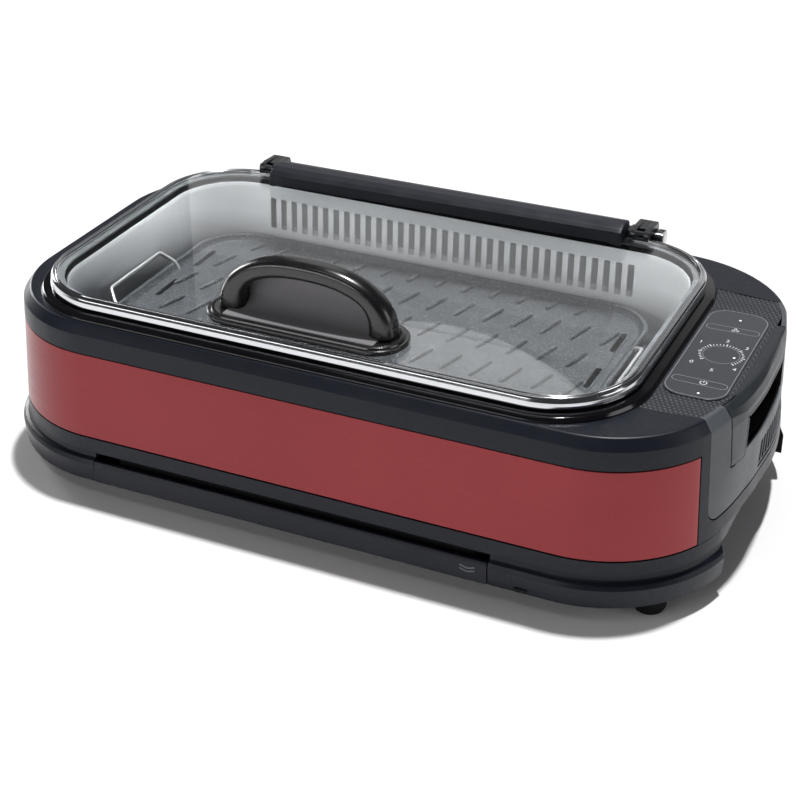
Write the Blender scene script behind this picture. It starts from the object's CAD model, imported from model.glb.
import bpy
import bmesh
import math
import random
from mathutils import Vector, Matrix, geometry


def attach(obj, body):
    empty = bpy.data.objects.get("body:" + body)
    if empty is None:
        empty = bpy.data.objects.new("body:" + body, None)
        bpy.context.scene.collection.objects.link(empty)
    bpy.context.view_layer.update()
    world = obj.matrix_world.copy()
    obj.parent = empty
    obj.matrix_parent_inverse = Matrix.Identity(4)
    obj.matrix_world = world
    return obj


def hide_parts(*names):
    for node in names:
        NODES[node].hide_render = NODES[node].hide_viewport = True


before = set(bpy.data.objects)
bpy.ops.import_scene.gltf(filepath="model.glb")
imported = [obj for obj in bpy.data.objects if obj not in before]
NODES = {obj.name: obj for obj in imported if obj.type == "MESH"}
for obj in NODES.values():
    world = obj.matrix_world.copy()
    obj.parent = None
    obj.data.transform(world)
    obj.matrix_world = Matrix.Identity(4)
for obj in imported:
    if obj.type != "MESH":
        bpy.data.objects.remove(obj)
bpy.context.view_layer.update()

K = 0.001
random.seed(7)
D2 = math.pi / 180


# ------------------------------------------------------------------ materials
def new_mat(name):
    m = bpy.data.materials.new(name)
    m.use_nodes = True
    nt = m.node_tree
    for n in list(nt.nodes):
        nt.nodes.remove(n)
    out = nt.nodes.new("ShaderNodeOutputMaterial")
    p = nt.nodes.new("ShaderNodeBsdfPrincipled")
    nt.links.new(p.outputs[0], out.inputs[0])
    return m, nt, p


class Tree:
    """Small wrapper to make node chains short to write."""

    def __init__(self, nt, coord="Object"):
        self.nt = nt
        self.tc = nt.nodes.new("ShaderNodeTexCoord")
        self.co = self.tc.outputs[coord]

    def link(self, a, b):
        self.nt.links.new(a, b)

    def mapping(self, scale=(1, 1, 1), rot=(0, 0, 0), src=None):
        n = self.nt.nodes.new("ShaderNodeMapping")
        n.inputs["Scale"].default_value = scale
        n.inputs["Rotation"].default_value = rot
        self.link(src or self.co, n.inputs["Vector"])
        return n.outputs[0]

    def noise(self, scale, detail=3.0, rough=0.5, src=None, dist=0.0):
        n = self.nt.nodes.new("ShaderNodeTexNoise")
        n.inputs["Scale"].default_value = scale
        n.inputs["Detail"].default_value = detail
        n.inputs["Roughness"].default_value = rough
        n.inputs["Distortion"].default_value = dist
        self.link(src or self.co, n.inputs["Vector"])
        return n.outputs["Fac"]

    def voronoi(self, scale, feature="F1", src=None, out="Distance"):
        n = self.nt.nodes.new("ShaderNodeTexVoronoi")
        n.feature = feature
        n.inputs["Scale"].default_value = scale
        self.link(src or self.co, n.inputs["Vector"])
        return n.outputs[out]

    def ramp(self, src, stops, interp="LINEAR"):
        n = self.nt.nodes.new("ShaderNodeValToRGB")
        n.color_ramp.interpolation = interp
        el = n.color_ramp.elements
        while len(el) > 1:
            el.remove(el[-1])
        for i, (pos, c) in enumerate(stops):
            if not hasattr(c, "__len__"):
                c = (c, c, c)
            e = el[0] if i == 0 else el.new(pos)
            e.position = pos
            e.color = (c[0], c[1], c[2], 1)
        self.link(src, n.inputs[0])
        return n.outputs[0]

    def maprange(self, src, a, b, c, d):
        n = self.nt.nodes.new("ShaderNodeMapRange")
        for k, v in zip(("From Min", "From Max", "To Min", "To Max"), (a, b, c, d)):
            n.inputs[k].default_value = v
        self.link(src, n.inputs["Value"])
        return n.outputs[0]

    def math(self, op, a, b=None, clamp=False):
        n = self.nt.nodes.new("ShaderNodeMath")
        n.operation = op
        n.use_clamp = clamp
        for i, v in enumerate((a, b)):
            if v is None:
                continue
            if isinstance(v, (int, float)):
                n.inputs[i].default_value = v
            else:
                self.link(v, n.inputs[i])
        return n.outputs[0]

    def mix(self, fac, a, b, blend="MIX"):
        n = self.nt.nodes.new("ShaderNodeMix")
        n.data_type = "RGBA"
        n.blend_type = blend
        for sock, v in ((n.inputs[0], fac), (n.inputs[6], a), (n.inputs[7], b)):
            if isinstance(v, (int, float)):
                sock.default_value = v
            elif hasattr(v, "__len__"):
                sock.default_value = (v[0], v[1], v[2], 1)
            else:
                self.link(v, sock)
        return n.outputs[2]

    def bump(self, height, strength, dist, normal=None):
        n = self.nt.nodes.new("ShaderNodeBump")
        n.inputs["Strength"].default_value = strength
        n.inputs["Distance"].default_value = dist
        self.link(height, n.inputs["Height"])
        if normal is not None:
            self.link(normal, n.inputs["Normal"])
        return n.outputs[0]

    def pointiness(self):
        n = self.nt.nodes.new("ShaderNodeNewGeometry")
        return n.outputs["Pointiness"]


def plastic(name, col, rough=0.4, grain=900.0, grain_amt=0.25, var=0.12, coat=0.0,
            coat_rough=0.12, spec=0.5, wear=0.25, metallic=0.0, wavy=0.0):
    """Moulded plastic: fine spark-eroded grain, faint colour drift, rubbed edges, finger haze."""
    m, nt, p = new_mat(name)
    t = Tree(nt)
    big = t.noise(9.0, 4, 0.55)
    mid = t.noise(75.0, 3, 0.6)
    lo = [c * (1 - var) for c in col]
    hi = [min(1, c * (1 + var)) for c in col]
    c1 = t.mix(t.maprange(big, 0.3, 0.7, 0, 1), lo, hi)
    edge = t.maprange(t.pointiness(), 0.505, 0.56, 0, wear)
    scuff = t.math("MULTIPLY", edge, t.maprange(t.noise(240.0, 2, 0.6), 0.35, 0.7, 0.2, 1.0))
    c2 = t.mix(scuff, c1, [min(1, c * 1.9 + 0.02) for c in col])
    t.link(c2, p.inputs["Base Color"])
    r = t.math("ADD", t.maprange(mid, 0.25, 0.75, rough - 0.045, rough + 0.055),
               t.math("MULTIPLY", edge, 0.10))
    haze = t.maprange(t.noise(16.0, 5, 0.65, dist=0.6), 0.52, 0.70, 0.0, 0.07)
    t.link(t.math("ADD", r, haze), p.inputs["Roughness"])
    fine = t.noise(grain, 2, 0.6)
    pits = t.voronoi(grain * 0.8)
    h = t.math("ADD", t.math("MULTIPLY", fine, 0.7), t.math("MULTIPLY", pits, 0.3))
    nrm = t.bump(h, grain_amt, 0.00018)
    if wavy:
        nrm = t.bump(t.noise(14.0, 1, 0.4), wavy, 0.0012, nrm)
    t.link(nrm, p.inputs["Normal"])
    p.inputs["Specular IOR Level"].default_value = spec
    p.inputs["Metallic"].default_value = metallic
    p.inputs["Coat Weight"].default_value = coat
    p.inputs["Coat Roughness"].default_value = coat_rough
    return m


def metal(name, col, rough=0.22, brush=None, amount=0.25, var=0.06, aniso=0.0, uv=False,
          stain=0.0, stain_col=(0.3, 0.22, 0.15)):
    """Sheet or drawn metal: directional brushing, roughness streaks, small scratches."""
    m, nt, p = new_mat(name)
    t = Tree(nt, "UV" if uv else "Object")
    sc = brush or (60, 60, 60)
    v = t.mapping(scale=sc)
    streak = t.noise(8.0, 4, 0.6, src=v)
    broad = t.noise(11.0 if not uv else 3.0, 3, 0.5)
    lo = [c * (1 - var) for c in col]
    c1 = t.mix(t.maprange(broad, 0.3, 0.7, 0, 1), lo, col)
    if stain:
        s = t.maprange(t.noise(24.0, 5, 0.7), 0.5, 0.75, 0, stain)
        c1 = t.mix(s, c1, stain_col)
    t.link(c1, p.inputs["Base Color"])
    p.inputs["Metallic"].default_value = 1.0
    r = t.maprange(streak, 0.25, 0.75, rough * 0.75, rough * 1.3)
    t.link(r, p.inputs["Roughness"])
    scr = t.noise(3.0, 2, 0.5, src=t.mapping(scale=(sc[0] * 3, sc[1] * 3, sc[2] * 3)))
    t.link(t.bump(t.math("ADD", streak, t.math("MULTIPLY", scr, 0.4)), amount, 0.00008),
           p.inputs["Normal"])
    p.inputs["Anisotropic"].default_value = aniso
    return m


def red_lacquer():
    """Red metallic sheet: flake sparkle, slow tone drift, clear coat with faint orange peel."""
    m, nt, p = new_mat("red_lacquer")
    t = Tree(nt)
    flake = t.voronoi(3600.0, out="Color")
    sep = nt.nodes.new("ShaderNodeSeparateColor")
    t.link(flake, sep.inputs[0])
    drift = t.noise(5.0, 3, 0.5)
    c1 = t.mix(t.maprange(drift, 0.3, 0.7, 0, 1), (0.200, 0.0180, 0.0225), (0.250, 0.0240, 0.0285))
    c2 = t.mix(t.maprange(sep.outputs[0], 0.6, 1.0, 0, 0.30), c1, (0.40, 0.055, 0.055))
    edge = t.maprange(t.pointiness(), 0.51, 0.58, 0, 0.35)
    c3 = t.mix(edge, c2, (0.40, 0.09, 0.09))
    t.link(c3, p.inputs["Base Color"])
    p.inputs["Metallic"].default_value = 0.78
    brushed = t.noise(6.0, 4, 0.6, src=t.mapping(scale=(3, 3, 90)))
    t.link(t.maprange(brushed, 0.25, 0.75, 0.34, 0.44), p.inputs["Roughness"])
    h = t.math("ADD", t.math("MULTIPLY", sep.outputs[1], 0.5), t.math("MULTIPLY", t.noise(420.0, 2, 0.5), 0.5))
    t.link(t.bump(h, 0.10, 0.00006), p.inputs["Normal"])
    cn = t.bump(t.noise(160.0, 2, 0.5), 0.06, 0.0003)
    t.link(cn, p.inputs["Coat Normal"])
    p.inputs["Coat Weight"].default_value = 0.30
    p.inputs["Coat Roughness"].default_value = 0.16
    return m


def glass_mat():
    """Tempered lid glass: clear, faint grey tint, wiped-smear variation in its gloss."""
    m, nt, p = new_mat("tempered_glass")
    t = Tree(nt)
    p.inputs["Base Color"].default_value = (0.93, 0.965, 0.955, 1)
    p.inputs["Transmission Weight"].default_value = 1.0
    p.inputs["IOR"].default_value = 1.5
    smear = t.noise(6.0, 5, 0.6, src=t.mapping(scale=(1, 3.2, 1), rot=(0, 0, 0.5)), dist=0.8)
    t.link(t.maprange(smear, 0.45, 0.8, 0.0, 0.05), p.inputs["Roughness"])
    c = t.mix(t.maprange(t.noise(20.0, 3, 0.5), 0.4, 0.8, 0.0, 0.25), (0.985, 0.995, 0.995), (0.94, 0.96, 0.96))
    t.link(c, p.inputs["Base Color"])
    t.link(t.bump(t.noise(5.0, 2, 0.5), 0.02, 0.0005), p.inputs["Normal"])
    out = [n for n in nt.nodes if n.type == "OUTPUT_MATERIAL"][0]
    lp = nt.nodes.new("ShaderNodeLightPath")
    tr = nt.nodes.new("ShaderNodeBsdfTransparent")
    tr.inputs[0].default_value = (0.975, 0.985, 0.985, 1)
    mx = nt.nodes.new("ShaderNodeMixShader")
    nt.links.new(lp.outputs["Is Shadow Ray"], mx.inputs[0])
    nt.links.new(p.outputs[0], mx.inputs[1])
    nt.links.new(tr.outputs[0], mx.inputs[2])
    nt.links.new(mx.outputs[0], out.inputs[0])
    return m


def coated_plate():
    """Non-stick coating over cast aluminium: fine speckle, orange peel, soft semi-gloss."""
    m, nt, p = new_mat("nonstick_plate")
    t = Tree(nt)
    speck = t.voronoi(1500.0, out="Color")
    sep = nt.nodes.new("ShaderNodeSeparateColor")
    t.link(speck, sep.inputs[0])
    base = t.mix(t.maprange(t.noise(12.0, 4, 0.6), 0.3, 0.7, 0, 1), (0.020, 0.023, 0.027), (0.029, 0.033, 0.038))
    c = t.mix(t.maprange(sep.outputs[0], 0.86, 1.0, 0.0, 0.5), base, (0.34, 0.35, 0.36))
    t.link(c, p.inputs["Base Color"])
    t.link(t.maprange(t.noise(60.0, 3, 0.6), 0.3, 0.7, 0.40, 0.52), p.inputs["Roughness"])
    peel = t.math("ADD", t.noise(420.0, 3, 0.55), t.math("MULTIPLY", sep.outputs[1], 0.25))
    t.link(t.bump(peel, 0.25, 0.00025), p.inputs["Normal"])
    p.inputs["Metallic"].default_value = 0.1
    p.inputs["Specular IOR Level"].default_value = 0.4
    return m


def enamel(name, col, rough=0.3, var=0.05, low=None):
    """Baked pale coating on pressed sheet: orange peel, slight darkening patches."""
    m, nt, p = new_mat(name)
    t = Tree(nt)
    c = t.mix(t.maprange(t.noise(7.0, 4, 0.6), 0.35, 0.75, 0, 1), col, [x * (1 - var * 2) for x in col])
    if low:
        geo = nt.nodes.new("ShaderNodeNewGeometry")
        xyz = nt.nodes.new("ShaderNodeSeparateXYZ")
        t.link(geo.outputs["Position"], xyz.inputs[0])
        v = t.math("ADD", xyz.outputs[2], t.math("MULTIPLY", xyz.outputs[1], 0.25))
        c = t.mix(t.maprange(v, 0.092, 0.136, 1.0, 0.0), c, low)
    t.link(c, p.inputs["Base Color"])
    t.link(t.maprange(t.noise(40.0, 3, 0.6), 0.3, 0.7, rough - 0.05, rough + 0.07), p.inputs["Roughness"])
    t.link(t.bump(t.noise(300.0, 2, 0.5), 0.12, 0.0002), p.inputs["Normal"])
    p.inputs["Metallic"].default_value = 0.04
    p.inputs["Coat Weight"].default_value = 0.2
    p.inputs["Coat Roughness"].default_value = 0.2
    return m


def pcb(name, col):
    m, nt, p = new_mat(name)
    t = Tree(nt)
    tracks = t.ramp(t.voronoi(260.0, "DISTANCE_TO_EDGE"), [(0.0, (0.35, 0.28, 0.12)), (0.06, (0.35, 0.28, 0.12)), (0.09, col), (1, col)])
    t.link(tracks, p.inputs["Base Color"])
    t.link(t.maprange(t.noise(200.0, 2), 0.3, 0.7, 0.3, 0.5), p.inputs["Roughness"])
    t.link(t.bump(t.noise(500.0, 2), 0.2, 0.0002), p.inputs["Normal"])
    return m


def ink(name, col, emit=0.0):
    """Screen-printed ink: uneven coverage and soft edges at the pinholes."""
    m, nt, p = new_mat(name)
    t = Tree(nt)
    c = t.mix(t.maprange(t.noise(900.0, 2), 0.35, 0.7, 0, 0.3), col, [x * 0.6 for x in col])
    t.link(c, p.inputs["Base Color"])
    t.link(t.maprange(t.noise(600.0, 2), 0.3, 0.7, 0.4, 0.55), p.inputs["Roughness"])
    t.link(t.bump(t.noise(1500.0, 2), 0.15, 0.00005), p.inputs["Normal"])
    if emit:
        p.inputs["Emission Color"].default_value = (col[0], col[1], col[2], 1)
        p.inputs["Emission Strength"].default_value = emit
    return m


M = {
    "shell": plastic("navy_shell", (0.0068, 0.0085, 0.0150), rough=0.36, grain=1100, grain_amt=0.10, coat=0.0, spec=0.26),
    "control": plastic("control_shell", (0.066, 0.073, 0.082), rough=0.40, grain=1100, grain_amt=0.12, coat=0.0, spec=0.38),
    "handle": plastic("handle_shell", (0.020, 0.0235, 0.028), rough=0.36, grain=1100, grain_amt=0.10, coat=0.0, spec=0.42),
    "rim_edge": plastic("control_edge_bead", (0.115, 0.122, 0.130), rough=0.36, grain=1100, grain_amt=0.08, coat=0.0, spec=0.5),
    "skirt": plastic("skirt_plastic", (0.0062, 0.0078, 0.0142), rough=0.34, grain=1000, grain_amt=0.10, coat=0.0, spec=0.26),
    "gloss": plastic("gloss_black", (0.004, 0.004, 0.005), rough=0.10, grain=500, grain_amt=0.03, coat=0.25, coat_rough=0.05, wear=0.1, wavy=0.04, spec=0.4),
    "grip": plastic("grip_bakelite", (0.006, 0.006, 0.007), rough=0.25, grain=700, grain_amt=0.05, coat=0.3, coat_rough=0.14, wear=0.15, spec=0.6),
    "guard": plastic("heat_guard", (0.205, 0.197, 0.207), rough=0.55, grain=1300, grain_amt=0.18, spec=0.25, wear=0.1),
    "matte": plastic("matte_black", (0.004, 0.004, 0.005), rough=0.62, grain=1200, grain_amt=0.35, spec=0.2),
    "clip": plastic("hinge_black", (0.006, 0.007, 0.009), rough=0.24, grain=900, grain_amt=0.08, coat=0.1, wear=0.2, spec=0.4),
    "bar": plastic("hinge_bar_plastic", (0.010, 0.012, 0.019), rough=0.34, grain=1000, grain_amt=0.10, coat=0.0, spec=0.34),
    "rubber": plastic("foot_rubber", (0.006, 0.006, 0.006), rough=0.78, grain=600, grain_amt=0.5, spec=0.15, wear=0.4),
    "knurl": plastic("textured_inlay", (0.022, 0.025, 0.031), rough=0.46, grain=1400, grain_amt=0.15, spec=0.32),
    "panel": plastic("touch_panel_film", (0.036, 0.039, 0.046), rough=0.34, grain=2000, grain_amt=0.10, coat=0.1, coat_rough=0.2, wear=0.05),
    "chrome": metal("polished_rim", (0.72, 0.73, 0.75), rough=0.12, brush=(2.0, 220.0, 1.0), amount=0.10, aniso=0.35, uv=True),
    "wire": metal("bright_wire", (0.94, 0.94, 0.95), rough=0.34, brush=(90, 90, 90), amount=0.12),
    "steel": metal("zinc_steel", (0.62, 0.62, 0.63), rough=0.30, brush=(120, 120, 120), amount=0.3, stain=0.15),
    "alu": metal("pressed_aluminium", (0.72, 0.72, 0.73), rough=0.34, brush=(8, 200, 8), amount=0.25, stain=0.12, stain_col=(0.5, 0.42, 0.32)),
    "galv": metal("galvanised_sheet", (0.60, 0.61, 0.62), rough=0.40, brush=(30, 30, 30), amount=0.3),
    "brass": metal("brass", (0.80, 0.62, 0.30), rough=0.28, brush=(100, 100, 100), amount=0.25),
    "element": metal("element_sheath", (0.16, 0.13, 0.11), rough=0.48, brush=(60, 200, 60), amount=0.4, stain=0.5, stain_col=(0.20, 0.10, 0.06)),
    "ceramic": plastic("steatite", (0.78, 0.75, 0.68), rough=0.5, grain=700, grain_amt=0.3, wear=0.0, var=0.06),
    "phenolic": plastic("phenolic_brown", (0.10, 0.05, 0.03), rough=0.45, grain=800, grain_amt=0.3),
    "liner": enamel("liner_enamel", (0.93, 0.945, 0.96), rough=0.34, low=(0.075, 0.080, 0.088)),
    "tray": enamel("tray_enamel", (0.030, 0.031, 0.033), rough=0.28, var=0.12),
    "red": red_lacquer(),
    "glass": glass_mat(),
    "plate": coated_plate(),
    "board": pcb("board_green", (0.02, 0.13, 0.06)),
    "ink": ink("white_ink", (0.80, 0.82, 0.86)),
    "ink_dim": ink("grey_ink", (0.30, 0.32, 0.36)),
    "led": ink("indicator_lens", (0.85, 0.88, 0.92), emit=0.6),
    "gasket": plastic("gasket_silicone", (0.085, 0.090, 0.096), rough=0.6, grain=700, grain_amt=0.3, spec=0.25),
}


# ------------------------------------------------------------------ mesh helpers
def shade(me, angle=32.0):
    bm = bmesh.new()
    bm.from_mesh(me)
    for f in bm.faces:
        f.smooth = True
    lim = angle * D2
    for e in bm.edges:
        if len(e.link_faces) == 2:
            if e.smooth and e.calc_face_angle(0.0) >= lim:
                e.smooth = False
        else:
            e.smooth = False
    bm.to_mesh(me)
    bm.free()


def clean(me, dist=2e-6, recalc=True):
    bm = bmesh.new()
    bm.from_mesh(me)
    bmesh.ops.remove_doubles(bm, verts=bm.verts, dist=dist)
    bmesh.ops.dissolve_degenerate(bm, dist=dist, edges=bm.edges)
    loose = [v for v in bm.verts if not v.link_faces]
    bmesh.ops.delete(bm, geom=loose, context="VERTS")
    if recalc:
        bmesh.ops.recalc_face_normals(bm, faces=bm.faces)
    bm.to_mesh(me)
    bm.free()


def make(name, verts, faces, mat, body="housing", rep=(), slot=None, angle=32.0, bevel=0.0,
         seg=2, uv=None, mm=True, recalc=True, bevel_angle=30.0):
    me = bpy.data.meshes.new(name)
    s = K if mm else 1.0
    me.from_pydata([(v[0] * s, v[1] * s, v[2] * s) for v in verts], [], faces)
    if uv is not None:
        lay = me.uv_layers.new(name="UVMap")
        for poly in me.polygons:
            for li in poly.loop_indices:
                lay.data[li].uv = uv[me.loops[li].vertex_index]
    return wrap(name, me, mat, body, rep, angle, bevel, seg, recalc, bevel_angle)


def wrap(name, me, mat, body="housing", rep=(), angle=32.0, bevel=0.0, seg=2,
         recalc=True, bevel_angle=30.0):
    clean(me, recalc=recalc)
    shade(me, angle)
    me.materials.clear()
    me.materials.append(M[mat] if isinstance(mat, str) else mat)
    ob = bpy.data.objects.new(name, me)
    bpy.context.scene.collection.objects.link(ob)
    if bevel:
        m = ob.modifiers.new("Bevel", "BEVEL")
        m.width = bevel * K
        m.segments = seg
        m.limit_method = "ANGLE"
        m.angle_limit = bevel_angle * D2
    wn = ob.modifiers.new("Weighted", "WEIGHTED_NORMAL")
    wn.mode = "FACE_AREA"
    wn.weight = 60
    wn.keep_sharp = True
    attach(ob, body)
    if rep:
        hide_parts(*rep)
    return ob


def fillet(pts, rad, n=4, closed=True):
    out = []
    N = len(pts)
    for i, p in enumerate(pts):
        r = rad[i] if isinstance(rad, (list, tuple)) else rad
        if r <= 0 or (not closed and i in (0, N - 1)):
            out.append(tuple(p))
            continue
        a, b, c = Vector(pts[i - 1]), Vector(p), Vector(pts[(i + 1) % N])
        u, v = a - b, c - b
        lu, lv = u.length, v.length
        u, v = u / lu, v / lv
        ang = math.acos(max(-1, min(1, u.dot(v))))
        if ang > math.pi - 0.02 or ang < 0.02:
            out += [tuple(p)] * (n + 1)
            continue
        t = min(r / math.tan(ang / 2), lu * 0.49, lv * 0.49)
        rr = t * math.tan(ang / 2)
        cen = b + (u + v).normalized() * (rr / math.sin(ang / 2))
        p0, p1 = b + u * t, b + v * t
        a0 = math.atan2(p0.y - cen.y, p0.x - cen.x)
        a1 = math.atan2(p1.y - cen.y, p1.x - cen.x)
        d = (a1 - a0 + math.pi) % (2 * math.pi) - math.pi
        for k in range(n + 1):
            th = a0 + d * k / n
            out.append((cen.x + rr * math.cos(th), cen.y + rr * math.sin(th)))
    return out


class Path:
    """Outline of lines and arcs, run anticlockwise, with its outward normal. at(s) -> x, y, nx, ny."""

    def __init__(self, segs):
        self.segs = []
        s = 0.0
        for g in segs:
            if g[0] == "L":
                (x0, y0), (x1, y1) = g[1], g[2]
                L = math.hypot(x1 - x0, y1 - y0)
                if L < 1e-9:
                    continue
                self.segs.append((s, L, "L", (x0, y0, (x1 - x0) / L, (y1 - y0) / L)))
            else:
                c, r, a0, a1 = g[1:]
                L = abs(a1 - a0) * D2 * r
                self.segs.append((s, L, "A", (c[0], c[1], r, a0 * D2, a1 * D2)))
            s += L
        self.length = s

    def at(self, s):
        s = s % self.length
        for s0, L, k, d in self.segs:
            if s <= s0 + L + 1e-9:
                t = s - s0
                if k == "L":
                    x0, y0, dx, dy = d
                    return (x0 + dx * t, y0 + dy * t, dy, -dx)
                cx, cy, r, a0, a1 = d
                a = a0 + (a1 - a0) * t / L
                return (cx + r * math.cos(a), cy + r * math.sin(a), math.cos(a), math.sin(a))
        return self.at(0)

    def stops(self, s0, s1, step=4.0, extra=()):
        """Positions from s0 to s1 (s1 > s0, may pass the start), with every joint of the outline."""
        marks = {round(s0, 6), round(s1, 6)}
        n = 0
        while n * self.length <= s1:
            for a, L, k, d in self.segs:
                m = max(2, int(L / (step if k == "A" else step * 4)))
                for i in range(m):
                    v = a + L * i / m + n * self.length
                    if s0 < v < s1:
                        marks.add(round(v, 6))
            for e in extra:
                if s0 < e + n * self.length < s1:
                    marks.add(round(e + n * self.length, 6))
            n += 1
        out = sorted(marks)
        res = [out[0]]
        for v in out[1:]:
            if v - res[-1] > 0.02:
                res.append(v)
        return res

    def find(self, lo, hi, f):
        """s between lo and hi where f(x, y) crosses zero."""
        a = f(*self.at(lo)[:2])
        for _ in range(60):
            mid = (lo + hi) / 2
            v = f(*self.at(mid)[:2])
            if (v > 0) == (a > 0):
                lo = mid
            else:
                hi = mid
        return (lo + hi) / 2


FLc, FLr = (-172.0, -55.0), 86.0
FRc, FRr = (172.0, -57.0), 84.0
ENc, ENr = (-32.0, 13.99), 300.0
RRc, RRr = (165.26, 47.0), 100.0
RLc, RLr = (-168.0, 57.0), 90.0
AF = math.degrees(math.atan2(FRc[1] - ENc[1], FRc[0] - ENc[0]))
AR = math.degrees(math.atan2(RRc[1] - ENc[1], RRc[0] - ENc[0]))

# upper outline, starting at the rear end of the left wall
TOP = Path([
    ("L", (-258, 57), (-258, -55)),
    ("A", FLc, FLr, 180, 270),
    ("L", (-172, -141), (172, -141)),
    ("A", FRc, FRr, -90, AF),
    ("A", ENc, ENr, AF, AR),
    ("A", RRc, RRr, AR, 90),
    ("L", (165.26, 147), (-168, 147)),
    ("A", RLc, RLr, 90, 180),
])
S_FL = 112.0
S_FL1 = S_FL + FLr * math.pi / 2
S_FR = S_FL1 + 344.0
S_EN = S_FR + FRr * (AF + 90) * D2
S_RR = S_EN + ENr * (AR - AF) * D2
S_RE = S_RR + RRr * (90 - AR) * D2
S_RL = S_RE + 333.26

LOW = Path([
    ("L", (-258, 57), (-258, -55)),
    ("A", FLc, FLr, 180, 270),
    ("L", (-172, -141), (172, -141)),
    ("A", FRc, FRr, -90, 0),
    ("L", (256, -57), (256, 47)),
    ("A", (161, 47), 95, 0, 90),
    ("L", (161, 142), (-173, 142)),
    ("A", (-173, 57), 85, 90, 180),
])

LX0, LX1, LY0, LY1, LR = -229.0, 196.6, -124.6, 126.8, 58.0


def rrect_path(x0, x1, y0, y1, r):
    return Path([
        ("L", (x0, y1 - r), (x0, y0 + r)),
        ("A", (x0 + r, y0 + r), r, 180, 270),
        ("L", (x0 + r, y0), (x1 - r, y0)),
        ("A", (x1 - r, y0 + r), r, -90, 0),
        ("L", (x1, y0 + r), (x1, y1 - r)),
        ("A", (x1 - r, y1 - r), r, 0, 90),
        ("L", (x1 - r, y1), (x0 + r, y1)),
        ("A", (x0 + r, y1 - r), r, 90, 180),
    ])


LID = rrect_path(LX0, LX1, LY0, LY1, LR)


def sweep(name, path, stops, prof, mat, closed=False, pclosed=True, caps=True, **kw):
    """Carries a (outward, height) profile along stops of an outline. prof may be f(s, x, y)."""
    verts, uv, faces = [], [], []
    m = None
    for s in stops:
        x, y, nx, ny = path.at(s)
        pr = prof(s, x, y) if callable(prof) else prof
        m = len(pr)
        v = 0.0
        for j, (d, z) in enumerate(pr):
            if j:
                v += math.hypot(d - pr[j - 1][0], z - pr[j - 1][1])
            verts.append((x + nx * d, y + ny * d, z))
            uv.append((s * K, v * K))
    n = len(stops)
    for i in range(n if closed else n - 1):
        a, b = i * m, ((i + 1) % n) * m
        for j in range(m if pclosed else m - 1):
            k = (j + 1) % m
            faces.append((a + j, b + j, b + k, a + k))
    if not closed and pclosed and caps:
        faces.append(tuple(range(m))[::-1])
        faces.append(tuple((n - 1) * m + j for j in range(m)))
    return make(name, verts, faces, mat, uv=uv, **kw)


def ring_stops(path, step=3.0):
    return path.stops(0, path.length, step)[:-1]


def lerp(a, b, t):
    return a + (b - a) * t


def smooth(a, b, v):
    t = max(0.0, min(1.0, (v - a) / (b - a)))
    return t * t * (3 - 2 * t)


def flat_plate(loops, z0, z1, bevel=0.4, res=2):
    """Mesh of a flat plate with holes, its rims rounded. loops are lists of (a, b) in mm."""
    cu = bpy.data.curves.new("tmp", "CURVE")
    cu.dimensions = "2D"
    cu.fill_mode = "BOTH"
    cu.extrude = ((z1 - z0) / 2 - bevel) * K
    cu.bevel_depth = bevel * K
    cu.bevel_resolution = res
    cu.offset = -bevel * K
    for lp in loops:
        sp = cu.splines.new("POLY")
        sp.points.add(len(lp) - 1)
        for p, (a, b) in zip(sp.points, lp):
            p.co = (a * K, b * K, 0, 1)
        sp.use_cyclic_u = True
    ob = bpy.data.objects.new("tmp", cu)
    bpy.context.scene.collection.objects.link(ob)
    dg = bpy.context.evaluated_depsgraph_get()
    dg.update()
    me = bpy.data.meshes.new_from_object(ob.evaluated_get(dg))
    bpy.data.objects.remove(ob)
    bpy.data.curves.remove(cu)
    me.transform(Matrix.Translation((0, 0, (z0 + z1) / 2 * K)))
    clean(me, 1e-5)
    bm = bmesh.new()
    bm.from_mesh(me)
    for e in bm.edges:
        if len(e.link_faces) == 2:
            a, b = (abs(f.normal.z) > 0.9995 for f in e.link_faces)
            if a != b and bevel < 0.3:
                e.smooth = False
    bm.to_mesh(me)
    bm.free()
    return me


def slice_mesh(me, axis, values):
    """Cuts a mesh across axis (0 x, 1 y, 2 z) at the given mm, so it can be bent."""
    bm = bmesh.new()
    bm.from_mesh(me)
    no = [0, 0, 0]
    no[axis] = 1
    for v in values:
        co = [0, 0, 0]
        co[axis] = v * K
        bmesh.ops.bisect_plane(bm, geom=bm.verts[:] + bm.edges[:] + bm.faces[:], dist=1e-7,
                               plane_co=co, plane_no=no)
    bm.to_mesh(me)
    bm.free()


def bend(me, fn):
    """Moves each vertex by fn(a, b, c) in mm."""
    for v in me.vertices:
        x, y, z = fn(v.co.x / K, v.co.y / K, v.co.z / K)
        v.co = (x * K, y * K, z * K)
    me.update()


def rr_loop(x0, x1, y0, y1, r, n=6):
    out = []
    for cx, cy, a0 in ((x1 - r, y0 + r, -90), (x1 - r, y1 - r, 0), (x0 + r, y1 - r, 90), (x0 + r, y0 + r, 180)):
        for k in range(n + 1):
            a = (a0 + 90 * k / n) * D2
            out.append((cx + r * math.cos(a), cy + r * math.sin(a)))
    return out


def circle_loop(cx, cy, r, n=24):
    return [(cx + r * math.cos(2 * math.pi * k / n), cy + r * math.sin(2 * math.pi * k / n)) for k in range(n)]


def lathe(name, prof, centre, mat, axis="z", n=40, **kw):
    verts, faces = [], []
    m = len(prof)
    for i in range(n):
        a = 2 * math.pi * i / n
        for r, z in prof:
            p = (r * math.cos(a), r * math.sin(a), z)
            if axis == "x":
                p = (p[2], p[0], p[1])
            verts.append((p[0] + centre[0], p[1] + centre[1], p[2] + centre[2]))
    for i in range(n):
        a, b = i * m, ((i + 1) % n) * m
        for j in range(m - 1):
            faces.append((a + j, b + j, b + j + 1, a + j + 1))
    return verts, faces


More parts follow.
